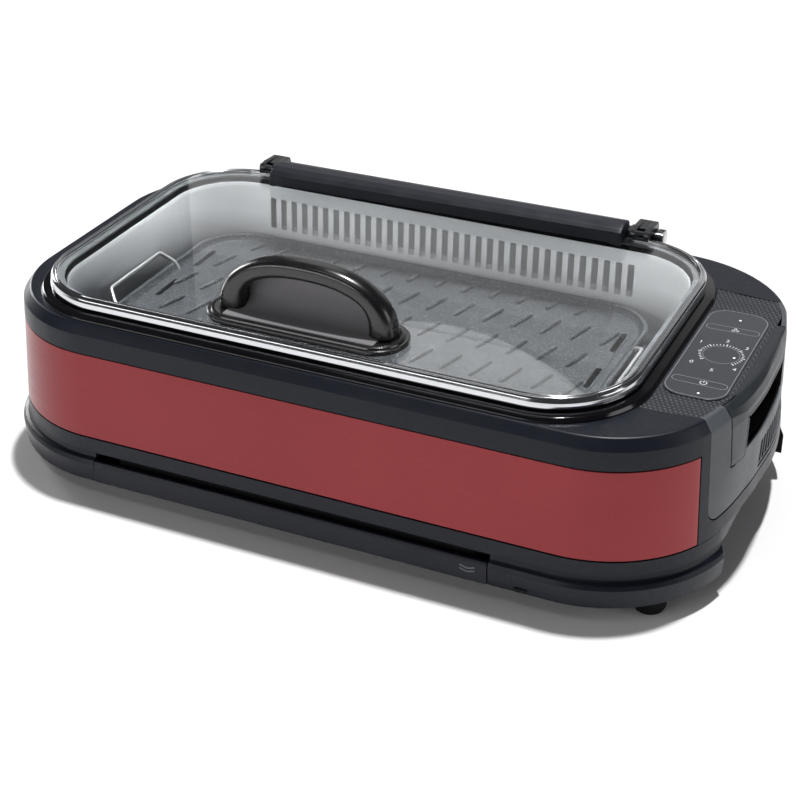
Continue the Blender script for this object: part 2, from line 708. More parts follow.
def join_parts(parts):
    verts, faces = [], []
    for v, f in parts:
        o = len(verts)
        verts += v
        faces += [tuple(i + o for i in q) for q in f]
    return verts, faces


def tube(points, r, n=12, closed=False):
    """Round bar along points, with fitted frames."""
    P = [Vector(p) for p in points]
    N = len(P)
    verts, faces = [], []
    prev = None
    for i, p in enumerate(P):
        a = P[i - 1] if (i or closed) else P[i]
        b = P[(i + 1) % N] if (i < N - 1 or closed) else P[i]
        t = (b - a).normalized()
        if prev is None:
            up = Vector((0, 0, 1)) if abs(t.z) < 0.9 else Vector((1, 0, 0))
        else:
            up = prev
        sx = up.cross(t).normalized()
        sy = t.cross(sx).normalized()
        prev = sy
        for k in range(n):
            an = 2 * math.pi * k / n
            verts.append(tuple(p + sx * (r * math.cos(an)) + sy * (r * math.sin(an))))
    for i in range(N if closed else N - 1):
        a, b = i * n, ((i + 1) % N) * n
        for k in range(n):
            faces.append((a + k, a + (k + 1) % n, b + (k + 1) % n, b + k))
    if not closed:
        faces.append(tuple(range(n))[::-1])
        faces.append(tuple((N - 1) * n + k for k in range(n)))
    return verts, faces


# ------------------------------------------------------------------ draft of the walls
S_PF = TOP.find(S_FR, S_EN, lambda x, y: y + 95.5)       # right end of the band
S_CF = TOP.find(S_FR, S_EN, lambda x, y: y + 88.9)       # front seam of the control end
S_CR = TOP.find(S_RR, S_RE, lambda x, y: y - 95.2)       # rear seam of the control end
S_BR = TOP.find(S_RL, TOP.length, lambda x, y: 102 - y)  # rear end of the band


def draft(s):
    """How far the wall stands out at its foot (z 45) compared with its top (z 121.5)."""
    s = s % TOP.length
    if s <= S_RE:
        return 4.6
    if s <= S_RL:
        return 0.0
    x, y = TOP.at(s)[:2]
    return lerp(4.6, 0.0, smooth(62.0, 132.0, y))


# sculpted wall of the control end: outward distance from the upper outline, by depth and height
END_Y = [-110.0, -88.6, -79.0, -63.0, -49.0, -40.0, -28.0, -19.0, -8.0, 5.0, 14.0, 27.0, 43.0, 58.0, 75.0, 87.0, 96.0, 107.0, 120.0]
END_Z = [45.0, 57.0, 92.0, 115.0, 121.5]
END_D = [
    [4.60, 4.60, 4.60, 3.40, 1.90, 1.10, 0.40, -0.10, -0.60, -0.50, -0.20, -0.30, -0.50, -0.80, -0.80, -0.30, 0.10, 0.00, 0.00],
    [3.88, 3.88, 3.90, 2.80, 1.40, 0.70, 0.10, -0.40, -0.90, -0.80, -0.50, -0.60, -1.00, -1.60, -1.60, -0.80, -0.10, 0.00, 0.00],
    [1.77, 1.80, 2.20, 2.90, 2.70, 2.20, 1.50, 0.80, -0.10, -0.80, -1.30, -2.00, -3.00, -3.70, -3.20, -1.40, -0.20, 0.00, 0.00],
    [0.39, 0.40, 0.60, 1.10, 1.10, 0.40, -0.60, -1.20, -2.00, -3.00, -3.40, -3.55, -3.70, -4.00, -4.20, -2.60, -0.80, -0.10, 0.00],
    [0.00, 0.00, 0.00, 0.00, 0.00, -0.20, -0.80, -1.30, -2.10, -3.10, -3.50, -3.65, -3.90, -4.20, -4.80, -3.20, -1.40, -0.20, 0.00],
]


def end_row(row, y):
    n = len(END_Y)
    if y <= END_Y[0]:
        return row[0]
    if y >= END_Y[-1]:
        return row[-1]
    i = 0
    while END_Y[i + 1] < y:
        i += 1
    h = END_Y[i + 1] - END_Y[i]
    t = (y - END_Y[i]) / h
    def slope(k):
        if k <= 0 or k >= n - 1:
            return 0.0
        return (row[k + 1] - row[k - 1]) / (END_Y[k + 1] - END_Y[k - 1])
    m0, m1 = slope(i) * h, slope(i + 1) * h
    return ((2 * t ** 3 - 3 * t ** 2 + 1) * row[i] + (t ** 3 - 2 * t ** 2 + t) * m0
            + (3 * t ** 2 - 2 * t ** 3) * row[i + 1] + (t ** 3 - t ** 2) * m1)


def wall_d(s, z):
    """Outward distance of the outer wall surface at height z."""
    s = s % TOP.length
    x, y = TOP.at(s)[:2]
    if x > 150 and y > -110 and S_FR < s < S_RE:
        if z >= END_Z[-1]:
            return end_row(END_D[-1], y)
        k = 0
        while k < len(END_Z) - 2 and END_Z[k + 1] < z:
            k += 1
        t = (z - END_Z[k]) / (END_Z[k + 1] - END_Z[k])
        return lerp(end_row(END_D[k], y), end_row(END_D[k + 1], y), t)
    return draft(s) * (121.5 - z) / 76.5


def rim_top(s):
    """Outward distance of the upper edge of the chamfer round the deck."""
    return min(-5.4, wall_d(s, 121.5) - 1.0)


# ------------------------------------------------------------------ housing shell (deck rim, posts, rear)
def housing_profile(zone):
    def f(s, x, y):
        w = lambda z: wall_d(s, z)
        outer = fillet([(w(44.9), 44.9), (w(60), 60), (w(107.9), 107.9), (w(109), 109), (w(121.5), 121.5), (rim_top(s), 128.5), (-8.2, 128.5)],
                       [0, 0, 0, 0, 1.6, 2.6, 0], n=5, closed=False)
        if zone == "band":
            # recess that takes the band, closed by a small step under the rim
            outer = [(w(44.9) - 1.7, 44.9), (w(60) - 1.7, 60), (w(107.9) - 1.7, 107.9), (w(108.4), 108.4)] + outer[4:]
        inner = [(-8.2, 125.6), (-5.6, 125.4), (-3.2, 120.5), (w(107.9) - 4.0, 107.9), (w(44.9) - 4.0, 44.9)]
        return outer + inner
    return f


def housing():
    prof_b, prof_p = housing_profile("band"), housing_profile("post")
    stops = []
    # from the rear seam of the control end round the back, the left and the front to its front seam
    a, b = S_CR, S_CF + TOP.length
    raw = TOP.stops(a, b, 3.2, extra=(S_BR, S_PF))
    seq = []
    for s in raw:
        if abs(s - S_BR) < 0.03:
            seq += [(s, "post"), (s, "band")]
        elif abs(s - (S_PF + TOP.length)) < 0.03:
            seq += [(s, "band"), (s, "post")]
        else:
            inb = S_BR < s < S_PF + TOP.length
            seq.append((s, "band" if inb else "post"))
    verts, uv, faces = [], [], []
    m = None
    for s, zone in seq:
        x, y, nx, ny = TOP.at(s)
        pr = (prof_b if zone == "band" else prof_p)(s, x, y)
        m = len(pr)
        v = 0
        for j, (d, z) in enumerate(pr):
            verts.append((x + nx * d, y + ny * d, z))
            uv.append((s * K, j * K))
    n = len(seq)
    for i in range(n - 1):
        for j in range(m):
            k = (j + 1) % m
            faces.append((i * m + j, (i + 1) * m + j, (i + 1) * m + k, i * m + k))
    faces.append(tuple(range(m))[::-1])
    faces.append(tuple((n - 1) * m + j for j in range(m)))
    # flat deck between the rim and the collar
    outer = []
    for s, zone in seq:
        x, y, nx, ny = TOP.at(s)
        p = (x - 8.2 * nx, y - 8.2 * ny)
        if not outer or math.hypot(p[0] - outer[-1][0], p[1] - outer[-1][1]) > 1e-4:
            outer.append(p)
    g = 5.8
    lid = []
    L = LID
    s0 = L.find(L.length * 0.5, L.length * 0.75, lambda x, y: y - 95.2) if False else None
    pts = []
    for s in L.stops(0, L.length, 3.0)[:-1]:
        x, y, nx, ny = L.at(s)
        pts.append((x + g * nx, y + g * ny))
    # inner loop: from the front seam back to the rear seam, clockwise
    inner = [p for p in pts if not (p[0] > 100 and -88.9 < p[1] < 95.2)]
    start = max(range(len(inner)), key=lambda i: (inner[i][0] > 100 and inner[i][1] > 0) * (1000 - abs(inner[i][1] - 95.2)))
    order = inner[start:] + inner[:start]          # anticlockwise from the rear seam
    def lid_x(yv):
        r = LR + g
        cy = LY0 + LR if yv < 0 else LY1 - LR
        return LX1 - LR + math.sqrt(max(0, r * r - (yv - cy) ** 2)) if abs(yv - 1.1) > (LY1 - LY0) / 2 - LR else LX1 + g
    seam_r = (lid_x(95.2), 95.2)
    seam_f = (lid_x(-88.9), -88.9)
    poly = outer + [seam_f] + order[::-1] + [seam_r]
    tri = geometry.tessellate_polygon([[Vector((p[0], p[1], 0)) for p in poly]])
    o = len(verts)
    verts += [(p[0], p[1], 128.5) for p in poly]
    uv += [(p[0] * K, p[1] * K) for p in poly]
    faces += [tuple(o + i for i in q) for q in tri]
    # inner rim of the deck, turned down
    chain = [seam_f] + order[::-1] + [seam_r]
    o = len(verts)
    for p in chain:
        verts += [(p[0], p[1], 128.5), (p[0], p[1], 125.4)]
        uv += [(0, 0), (0, 0)]
    for i in range(len(chain) - 1):
        faces.append((o + 2 * i, o + 2 * i + 1, o + 2 * i + 3, o + 2 * i + 2))
    return make("housing_shell", verts, faces, "shell", rep=("bezel", "body_shell"), uv=uv, angle=28)


housing()


# ------------------------------------------------------------------ red band
def band():
    stops = TOP.stops(S_BR + 0.7, S_PF + TOP.length - 0.9, 3.0)

    def prof(s, x, y):
        w = lambda z: wall_d(s, z)
        o = 0.02
        return fillet([(w(45.5) + o, 45.5), (w(107.6) + o - 0.12, 107.6), (w(107.6) - 1.0, 107.6), (w(45.5) - 1.0, 45.5)],
                      [0.5, 0.5, 0.2, 0.2], n=4)
    return sweep("red_band_sheet", TOP, stops, prof, "red", rep=("red_band",), angle=40)


band()


# ------------------------------------------------------------------ skirt
TX0, TX1 = -163.7, 130.9
S_T0 = S_FL1 + (TX0 + 172)
S_T1 = S_FL1 + (TX1 + 172)
LEN_LOW = LOW.length
S_R0 = S_FR + FRr * math.pi / 2          # start of the straight right flank
S_R1 = S_R0 + 104.0
S_LB = S_R1 + 95 * math.pi / 2 + 334.0   # start of the rear left arc


def flange(s):
    """1 where the foot flange stands out, 0 on the right flank and at the rear."""
    s = s % LEN_LOW
    x, y = LOW.at(s)[:2]
    if s < S_FR:
        return 1.0
    if s < S_R1:
        return 1.0 - smooth(-74.0, -69.5, y)
    if s < S_LB:
        return 0.0
    return 1.0 - smooth(99.0, 106.0, y)


def low_wall(s):
    s = s % LEN_LOW
    x, y = LOW.at(s)[:2]
    if s <= S_FR or s > S_LB:
        return 4.5 if s <= S_FR else lerp(4.5, 4.3, smooth(60, 120, y))
    return 4.5


def skirt_prof(full):
    def f(s, x, y):
        k = flange(s)
        w = low_wall(s)
        # flank without flange curls under
        under = 1.0 if (S_R0 - 60 < (s % LEN_LOW) < S_R1 + 120) else 0.35
        a = [(w - 13.0 * under, 13.2), (w - 3.4 * under, 27.0), (w - 0.4, 33.0), (w, 36.0), (w, 38.0), (w + 0.02, 44.5)]
        b = [(9.4, 13.2), (9.9, 26.6), (8.6, 29.6), (5.6, 31.2), (4.9, 34.5), (w + 0.02, 44.5)]
        pts = [(lerp(p[0], q[0], k), lerp(p[1], q[1], k)) for p, q in zip(a, b)]
        out = fillet(pts, [0.8, 1.8, 1.4, 2.2, 2.5, 0.3], n=4, closed=False)
        out[0] = (out[0][0] - 0.8, out[0][1])
        t0 = 2.4
        inner = [(pts[-1][0] - t0, 44.5), (pts[3][0] - t0 - 1.5, 33), (min(pts[1][0] - t0 - 2.0, pts[0][0] - 1.4), 24), (pts[0][0] - 2.4, 13.2)]
        return out + inner
    return f


def skirt():
    st = LOW.stops(S_T1, S_T0 + LEN_LOW, 3.0, extra=[S_R0 - 84 * math.pi / 2 + 84 * t * D2 for t in range(60, 91, 2)])
    ob = sweep("skirt_moulding", LOW, st, skirt_prof(True), "skirt", rep=("skirt",), angle=34)
    # lintel over the tray mouth
    st = LOW.stops(S_T0, S_T1, 10.0)
    lint = fillet([(4.52, 44.5), (4.9, 34.0), (4.6, 33.2), (-6.0, 33.2), (-6.0, 35.0), (2.1, 37), (2.1, 44.5)], [0.3, 1.5, 0.6, 0.4, 0.4, 0.4, 0.3], n=3)
    sweep("skirt_lintel", LOW, st, lint, "skirt", slot="skirt", angle=34)
    # floor of the tray mouth under the fascia
    return ob


skirt()


def base_pan():
    outer = []
    for s in LOW.stops(0, LOW.length, 4.0)[:-1]:
        x, y, nx, ny = LOW.at(s)
        k = smooth(-80, -60, y) if x > 100 else (smooth(60, 110, y) if y > 0 else 0)
        d = lerp(5.4, -8.6, k) if x > 100 else lerp(5.4, 0.5, k)
        if abs(y + 141) < 0.01 and TX0 - 1 < x < TX1 + 1:
            d = 2.0
        outer.append((x + nx * d, y + ny * d))
    holes = [circle_loop(px, py, 2.4, 16) for px, py in ((226.8, -111.8), (-227, -111.8), (-226, 110), (215, 105))]
    holes += [circle_loop(px, py, 4.2, 18) for px, py in ((-238, -40), (-238, 50), (-194, -122), (160, -122), (-100, 137), (90, 137), (200, 120))]
    holes += [rr_loop(196 + i * 5, 198.6 + i * 5, -30, 20, 1.2, 4) for i in range(10)]
    holes += [rr_loop(-120 + i * 9, -116 + i * 9, 60, 96, 1.9, 4) for i in range(-6, 22) if i % 7 != 0]
    me = flat_plate([outer] + holes, 15.4, 17.8, 0.5)
    return wrap("base_pan", me, "matte", rep=("base_plate",), angle=35)


base_pan()


def feet():
    prof = fillet([(0, 0), (9.2, 0), (10.8, 3.0), (11.2, 9.6), (9.6, 12.4), (9.2, 15.4), (0, 15.4)], [0, 1.2, 1.0, 1.4, 0.8, 0, 0], n=4, closed=False)
    cup = fillet([(0, 2.2), (4.4, 2.2), (4.6, 0.0), (9.2, 0), (10.8, 3.0), (11.2, 9.6), (9.6, 12.4), (9.2, 15.4), (0, 15.4)], [0, 0.5, 0.4, 1.2, 1.0, 1.4, 0.8, 0, 0], n=4, closed=False)
    parts = []
    for px, py in ((226.8, -111.8), (-227, -111.8), (-226, 110), (215, 105)):
        parts.append(lathe("f", cup, (px, py, 0), "rubber", n=44))
    v, f = join_parts(parts)
    make("rubber_feet", v, f, "rubber", rep=("feet",), angle=40)


feet()


# ------------------------------------------------------------------ drip tray front
def fascia():
    x0, x1 = -163.2, 130.2
    prof = fillet([(-150.86, 13.3), (-150.86, 27.6), (-149.5, 29.5), (-147.0, 29.5), (-147.0, 13.3)], [0.8, 1.6, 0.9, 0.4, 0.3], n=5)
    verts, faces = [], []
    xs = [x0, x0 + 0.35] + [x0 + (x1 - x0) * i / 20 for i in range(1, 20)] + [x1 - 0.35, x1]
    m = len(prof)
    for i, x in enumerate(xs):
        k = 0.3 if i in (0, len(xs) - 1) else 0.0
        cy, cz = -149.0, 22.0
        for y, z in prof:
            verts.append((x, y + (cy - y) * k * 0.16, z + (cz - z) * k * 0.05))
    for i in range(len(xs) - 1):
        for j in range(m):
            k = (j + 1) % m
            faces.append((i * m + j, (i + 1) * m + j, (i + 1) * m + k, i * m + k))
    faces.append(tuple(range(m))[::-1])
    faces.append(tuple((len(xs) - 1) * m + j for j in range(m)))
    make("tray_front", verts, faces, "skirt", body="tray", rep=("tray_fascia",), angle=34)
    # small generic pull mark: two raised chevrons
    parts = []
    for k in (0, 1):
        zc = 22.6 - 2.6 * k
        for sgn in (-1, 1):
            a = (117.0, -151.0, zc)
            b = (117.0 + sgn * 5.2, -151.0, zc + 1.5)
            dx, dz = b[0] - a[0], b[2] - a[2]
            L = math.hypot(dx, dz)
            ox, oz = -dz / L * 0.42, dx / L * 0.42
            q = [(a[0] + ox, -150.98, a[2] + oz), (b[0] + ox, -150.98, b[2] + oz), (b[0] - ox, -150.98, b[2] - oz), (a[0] - ox, -150.98, a[2] - oz)]
            r = [(p[0], -150.6, p[2]) for p in q]
            parts.append((q + r, [(0, 1, 2, 3), (7, 6, 5, 4), (0, 4, 5, 1), (1, 5, 6, 2), (2, 6, 7, 3), (3, 7, 4, 0)]))
    v, f = join_parts(parts)
    make("tray_front_mark", v, f, "rim_edge", body="tray", slot="tray_fascia", angle=30)
    # small drain slot insert low in the skirt beside the tray
    me = flat_plate([rr_loop(148.6, 157.8, 14.3, 16.9, 1.25, 5)], 0.0, 1.2, 0.2, 2)
    bend(me, lambda a, b, c: (a, -150.95 + c, b))
    wrap("drain_slot_insert", me, "matte", angle=30)


fascia()


# ------------------------------------------------------------------ gloss collar round the lid
collar_prof = fillet([(9.3, 128.3), (9.6, 129.4), (7.9, 131.9), (-0.5, 132.9), (-9.2, 132.6), (-9.2, 123), (-6.6, 123), (-6.6, 128.0)],
                     [0.3, 1.2, 1.2, 1.0, 0.6, 0.4, 0.3, 0.5], n=5)
sweep("lid_collar_gloss", LID, ring_stops(LID, 2.5), collar_prof, "gloss", closed=True, rep=("lid_collar",), angle=40)

# ------------------------------------------------------------------ lid ring, glass, gasket
ring_prof = fillet([(-2.1, 136.5), (-2.1, 140.8), (-3.5, 140.8), (-3.3, 141.5), (-2.4, 142.0), (-1.6, 141.7), (-1.15, 140.9), (-0.75, 141.7), (0.45, 141.5), (1.55, 140.1), (2.2, 138.2), (2.5, 136.3), (2.5, 134.9), (2.1, 134.0), (1.3, 133.9), (0.5, 134.8), (-0.6, 136.0)],
                   [0.2, 0.2, 0.2, 0.3, 0.5, 0.3, 0.25, 0.4, 1.2, 1.6, 1.8, 1.2, 0.5, 0.3, 0.3, 0.5, 0.4], n=4)
sweep("lid_ring_rolled", LID, ring_stops(LID, 2.0), ring_prof, "chrome", closed=True, body="lid", rep=("lid_ring",), angle=45)
seal_prof = fillet([(-0.9, 133.0), (-0.5, 134.0), (-0.8, 135.7), (-2.3, 136.4), (-7.6, 136.5), (-7.6, 134.9), (-4.6, 134.6), (-4.0, 133.0)],
                   [0.4, 0.5, 0.4, 0.2, 0.4, 0.4, 0.8, 0.4], n=4)
sweep("lid_seal_lip", LID, ring_stops(LID, 2.5), seal_prof, "gasket", closed=True, body="lid", rep=("lid_gasket",), angle=45)


def loop_pts(path, d, step=3.0):
    out = []
    for s in path.stops(0, path.length, step)[:-1]:
        x, y, nx, ny = path.at(s)
        out.append((x + d * nx, y + d * ny))
    return out


me = flat_plate([loop_pts(LID, -2.5), circle_loop(-73, -96, 3.2, 24), circle_loop(33, -96, 3.2, 24)], 136.7, 140.6, 0.35)
wrap("lid_glass_pane", me, "glass", body="lid", rep=("lid_glass",), angle=35)


# ------------------------------------------------------------------ lid grip
def grip_parts():
    me = flat_plate([rr_loop(-92.6, 51.0, -120.6, -75, 22.4, 14)], 140.9, 144.6, 0.9, 3)
    wrap("grip_foot_plate", me, "grip", body="lid", rep=("grip_base",), angle=40)
    # raised inner land
    prof = fillet([(0, 144.3), (-0.6, 145.7), (-2.6, 146.2), (-6.5, 145.2), (-14, 145.2), (-14, 144.2), (0, 144.2)], [0.1, 0.6, 1.2, 1.5, 0, 0, 0.1], n=4)
    land = rrect_path(-90.2, 48.6, -118.2, -77.4, 20.0)
    sweep("grip_foot_land", land, ring_stops(land, 2.0), prof, "grip", closed=True, body="lid", slot="grip_base", angle=40)
    # arch
    cx = -20.6
    n = 64
    cl = []
    for i in range(n + 1):
        t = math.pi * (1 - i / n)
        e = 2.35
        c, s = math.cos(t), math.sin(t)
        x = cx + 55.6 * math.copysign(abs(c) ** (2 / e), c)
        z = 146.5 + 34.4 * abs(s) ** (2 / e)
        cl.append((x, z))
    # resample evenly
    acc = [0.0]
    for a, b in zip(cl, cl[1:]):
        acc.append(acc[-1] + math.hypot(b[0] - a[0], b[1] - a[1]))
    pts = []
    N = 72
    j = 0
    for i in range(N + 1):
        s = acc[-1] * i / N
        while j < len(acc) - 2 and acc[j + 1] < s:
            j += 1
        u = (s - acc[j]) / max(1e-9, acc[j + 1] - acc[j])
        pts.append((lerp(cl[j][0], cl[j + 1][0], u), lerp(cl[j][1], cl[j + 1][1], u)))
    verts, faces = [], []
    m = 32
    for i, (x, z) in enumerate(pts):
        a = pts[max(0, i - 1)]
        b = pts[min(N, i + 1)]
        tx, tz = b[0] - a[0], b[1] - a[1]
        L = math.hypot(tx, tz)
        tx, tz = tx / L, tz / L
        nx, nz = -tz, tx                      # outward from the arch
        if nz < 0 and abs(tx) > 0.5:
            nx, nz = -nx, -nz
        k = min(i, N - i) / (N / 2)
        foot = 1 - smooth(0.0, 0.42, k)
        half_t = lerp(6.7, 9.2, foot)
        half_y = lerp(8.4, 9.6, foot)
        for q in range(m):
            an = 2 * math.pi * q / m
            c, s = math.cos(an), math.sin(an)
            e = 3.0
            u = math.copysign(abs(c) ** (2 / e), c) * half_y
            w = math.copysign(abs(s) ** (2 / e), s) * half_t
            # crowned outside, flatter inside
            if w > 0:
                w *= 1.0 - 0.12 * (u / half_y) ** 2
            off = w - foot * 0.8
            verts.append((x + nx * off, -96 + u, z + nz * off))
    for i in range(N):
        for q in range(m):
            faces.append((i * m + q, (i + 1) * m + q, (i + 1) * m + (q + 1) % m, i * m + (q + 1) % m))
    faces.append(tuple(range(m))[::-1])
    faces.append(tuple(N * m + q for q in range(m)))
    make("lid_grip_arch", verts, faces, "grip", body="lid", rep=("lid_grip",), angle=50)
    # dished heat guard: closes the back of the opening and sweeps forward onto the foot plate
    verts, faces = [], []
    cols = [p for p in pts if p[0] > cx - 55.0 and p[0] < cx + 55.0]
    m = 0
    for x, zt in cols:
        zt -= 1.5
        r = min(13.0, max(1.0, zt - 147.5))
        run = [(-90.0, zt)] + [(-90.0, lerp(zt, 146.6 + r, k / 4)) for k in range(1, 4)]
        run += [(-90.0 - r * (1 - math.cos(t * D2)), 146.6 + r * (1 - math.sin(t * D2))) for t in range(0, 91, 9)]
        run += [(lerp(-90.0 - r, -113.4, k / 3), 146.6 - 0.35 * k / 3) for k in (1, 2, 3)]
        run += [(-114.2, 145.4), (-88.4, 145.4), (-88.4, zt)]
        m = len(run)
        for y, z in run:
            verts.append((x, y, z))
    for i in range(len(cols) - 1):
        for j in range(m):
            q = (j + 1) % m
            faces.append((i * m + j, (i + 1) * m + j, (i + 1) * m + q, i * m + q))
    faces.append(tuple(range(m))[::-1])
    faces.append(tuple((len(cols) - 1) * m + j for j in range(m)))
    make("lid_grip_guard", verts, faces, "guard", body="lid", slot="lid_grip", angle=40)


grip_parts()


# ------------------------------------------------------------------ hinge bar and clips
def hinge_parts():
    prof = fillet([(102.0, 142.6), (101.7, 149.9), (105.5, 152.0), (112.0, 153.6), (120.0, 153.9), (126.4, 152.6), (129.7, 149.6), (130.0, 134.8), (127.6, 134.8), (127.4, 142.6)],
                  [0.6, 0.45, 5.0, 8.0, 8.0, 4.0, 1.2, 0.6, 0.6, 0.8], n=5)
    x0, x1 = -157.0, 125.6
    xs = [x0, x0 + 0.5, x0 + 1.4, -153.6, -153.2] + [x0 + (x1 - x0) * i / 24 for i in range(1, 24)] + [121.9, 122.3, x1 - 1.4, x1 - 0.5, x1]
    xs = sorted(xs)
    verts, faces = [], []
    m = len(prof)
    for i, x in enumerate(xs):
        e = min(i, len(xs) - 1 - i)
        k = (0.9, 0.25, 0.0)[e] if e < 3 else 0.0
        # the front lip is deeper near both ends
        lip = max(smooth(-146, -154, x), smooth(113, 121, x))
        # the bar narrows slightly and rises toward the control end
        t = (x - x0) / (x1 - x0)
        for y, z in prof:
            yy, zz = y, z
            if y < 103.5 and z < 145:
                zz = z - 1.7 * lip
                yy = y - 0.3 * lip
            yy += 5.2 * t * max(0.0, min(1.0, (126.0 - y) / 24.0))
            if z > 147:
                zz += 0.4 + 1.0 * t
            # stepped back clear of the brackets
            if x < -153.4 or x > 122.1:
                yy = min(yy, 128.1)
            cy, cz = 116, 148
            L = math.hypot(cy - yy, cz - zz)
            verts.append((x, yy + (cy - yy) / L * k, zz + (cz - zz) / L * k))
    for i in range(len(xs) - 1):
        for j in range(m):
            q = (j + 1) % m
            faces.append((i * m + j, (i + 1) * m + j, (i + 1) * m + q, i * m + q))
    faces.append(tuple(range(m))[::-1])
    faces.append(tuple((len(xs) - 1) * m + j for j in range(m)))
    make("hinge_bar_cover", verts, faces, "bar", body="lid", rep=("hinge_bar",), angle=30)

    # clips: a block with a finger slot, a hooked arm and a barrel round the pin
    parts = []
    for kx, sgn in ((-167.0, 1), (136.0, -1)):
        # side plates in the YZ plane, thickness along x
        outline = fillet([(117.4, 142.9), (117.2, 147.2), (118.4, 150.2), (128.0, 150.4), (142.4, 149.6), (144.0, 145.0), (143.9, 137.4), (139.4, 133.2), (134.6, 133.2), (130.4, 136.6), (129.2, 142.9)],
                         [1.0, 1.5, 1.2, 2.5, 1.8, 4.0, 4.0, 3.0, 3.0, 3.0, 1.0], n=5)
        hole = circle_loop(137.0, 140.0, 3.05, 28)
        for cx in (kx - 5.1, kx + 5.1):
            me = flat_plate([outline, hole], -2.1, 2.1, 0.5)
            v = [(p.co.z / K + cx, p.co.x / K, p.co.y / K) for p in me.vertices]
            f = [tuple(p.vertices) for p in me.polygons]
            parts.append((v, f))
            bpy.data.meshes.remove(me)

        # bridge between the plates, open at the finger slot
        def box(x0, x1, y0, y1, z0, z1):
            v = [(x, y, z) for x in (x0, x1) for y in (y0, y1) for z in (z0, z1)]
            return v, [(0, 1, 3, 2), (4, 6, 7, 5), (0, 4, 5, 1), (2, 3, 7, 6), (0, 2, 6, 4), (1, 5, 7, 3)]
        parts.append(box(kx - 6.8, kx + 6.8, 117.8, 128.6, 143.2, 147.4))
        parts.append(box(kx - 6.8, kx + 6.8, 117.8, 120.2, 146.0, 149.8))
        parts.append(box(kx - 6.8, kx + 6.8, 126.0, 142.6, 145.0, 149.4))
        if sgn > 0:
            parts.append(box(kx + 6.6, -157.2, 118.2, 127.6, 143.4, 149.6))
        else:
            parts.append(box(125.8, kx - 6.6, 118.2, 127.6, 143.4, 149.6))
    v, f = join_parts(parts)
    make("hinge_clip_pair", v, f, "clip", body="lid", rep=("hinge_clips",), angle=30, bevel=0.35, seg=2)
    # rolled heads on the outer ends of the pins
    head = fillet([(0.0, 13.0), (5.2, 13.0), (5.6, 13.5), (5.2, 14.2), (0.0, 14.4)], [0, 0.2, 0.3, 0.3, 0], n=4, closed=False)
    parts = [lathe("h", [(r, -h) for r, h in head][::-1], (-167.0, 137.0, 140.0), "steel", "x", 32),
             lathe("h", head, (136.0, 137.0, 140.0), "steel", "x", 32)]
    v, f = join_parts(parts)
    make("hinge_pin_heads", v, f, "steel", body="lid_carrier", slot="hinge_pins", angle=40)


hinge_parts()


# ------------------------------------------------------------------ well liner with rear slots
def liner():
    # profile measured down the wall from the rim: (inward offset from the lid outline, height)
    raw = fillet([(-9.4, 131.6), (-9.9, 128.6), (-12.0, 72.0), (-20.0, 63.6), (-29.0, 62.4)],
                 [0, 1.5, 9.0, 7.0, 0], n=6, closed=False)
    acc = [0.0]
    for a, b in zip(raw, raw[1:]):
        acc.append(acc[-1] + math.hypot(b[0] - a[0], b[1] - a[1]))
    V = acc[-1]

    def at(v):
        v = max(0.0, min(V, v))
        for i in range(len(raw) - 1):
            if v <= acc[i + 1] + 1e-9:
                u = (v - acc[i]) / max(1e-9, acc[i + 1] - acc[i])
                a, b = raw[i], raw[i + 1]
                tx, tz = b[0] - a[0], b[1] - a[1]
                L = math.hypot(tx, tz)
                return lerp(a[0], b[0], u), lerp(a[1], b[1], u), -tz / L, tx / L
        return raw[-1][0], raw[-1][1], 0, 1

    P = rrect_path(LX0, LX1, LY0, LY1, LR)
    Ls = P.length
    # s at which the rear wall starts (running towards -x)
    s_rear = P.find(Ls * 0.5, Ls * 0.8, lambda x, y: (LX1 - LR - 0.001) - x)
    holes = []
    for i in range(-16, 17):
        xc = -15.0 + i * 9.2
        sc = s_rear + (LX1 - LR - xc)
        v0 = 131.6 - 121.2
        v1 = 131.6 - 95.8
        holes.append(rr_loop(sc - 2.45, sc + 2.45, v0, v1, 1.0, 3))
    me = flat_plate([[(0, 0), (Ls, 0), (Ls, V), (0, V)]] + holes, -1.3, 0.0, 0.18, 1)
    slice_mesh(me, 0, P.stops(0.01, Ls - 0.01, 3.0))
    slice_mesh(me, 1, [a for a in acc[1:-1]])

    def fn(a, b, c):
        x, y, nx, ny = P.at(min(max(a, 0.0), Ls - 1e-6))
        d, z, pn, pz = at(b)
        # c is depth outward from the visible face
        off = d - c * 1.0 * (1.0 if True else 0)
        return (x + nx * (d + (-c) * (-pn if False else abs(pn))), y + ny * (d + (-c) * abs(pn)), z - (-c) * (pz if pz > 0 else 0) * 1.0)
    bend(me, fn)
    wrap("well_liner_pressing", me, "liner", rep=("well_liner",), angle=38, recalc=True)
    # floor of the well with the drain window
    fl = flat_plate([loop_pts(LID, -28.6), rr_loop(-150, 110, -60, 60, 14, 8)], 61.0, 62.4, 0.3, 1)
    wrap("well_floor", fl, "liner", angle=35)


liner()


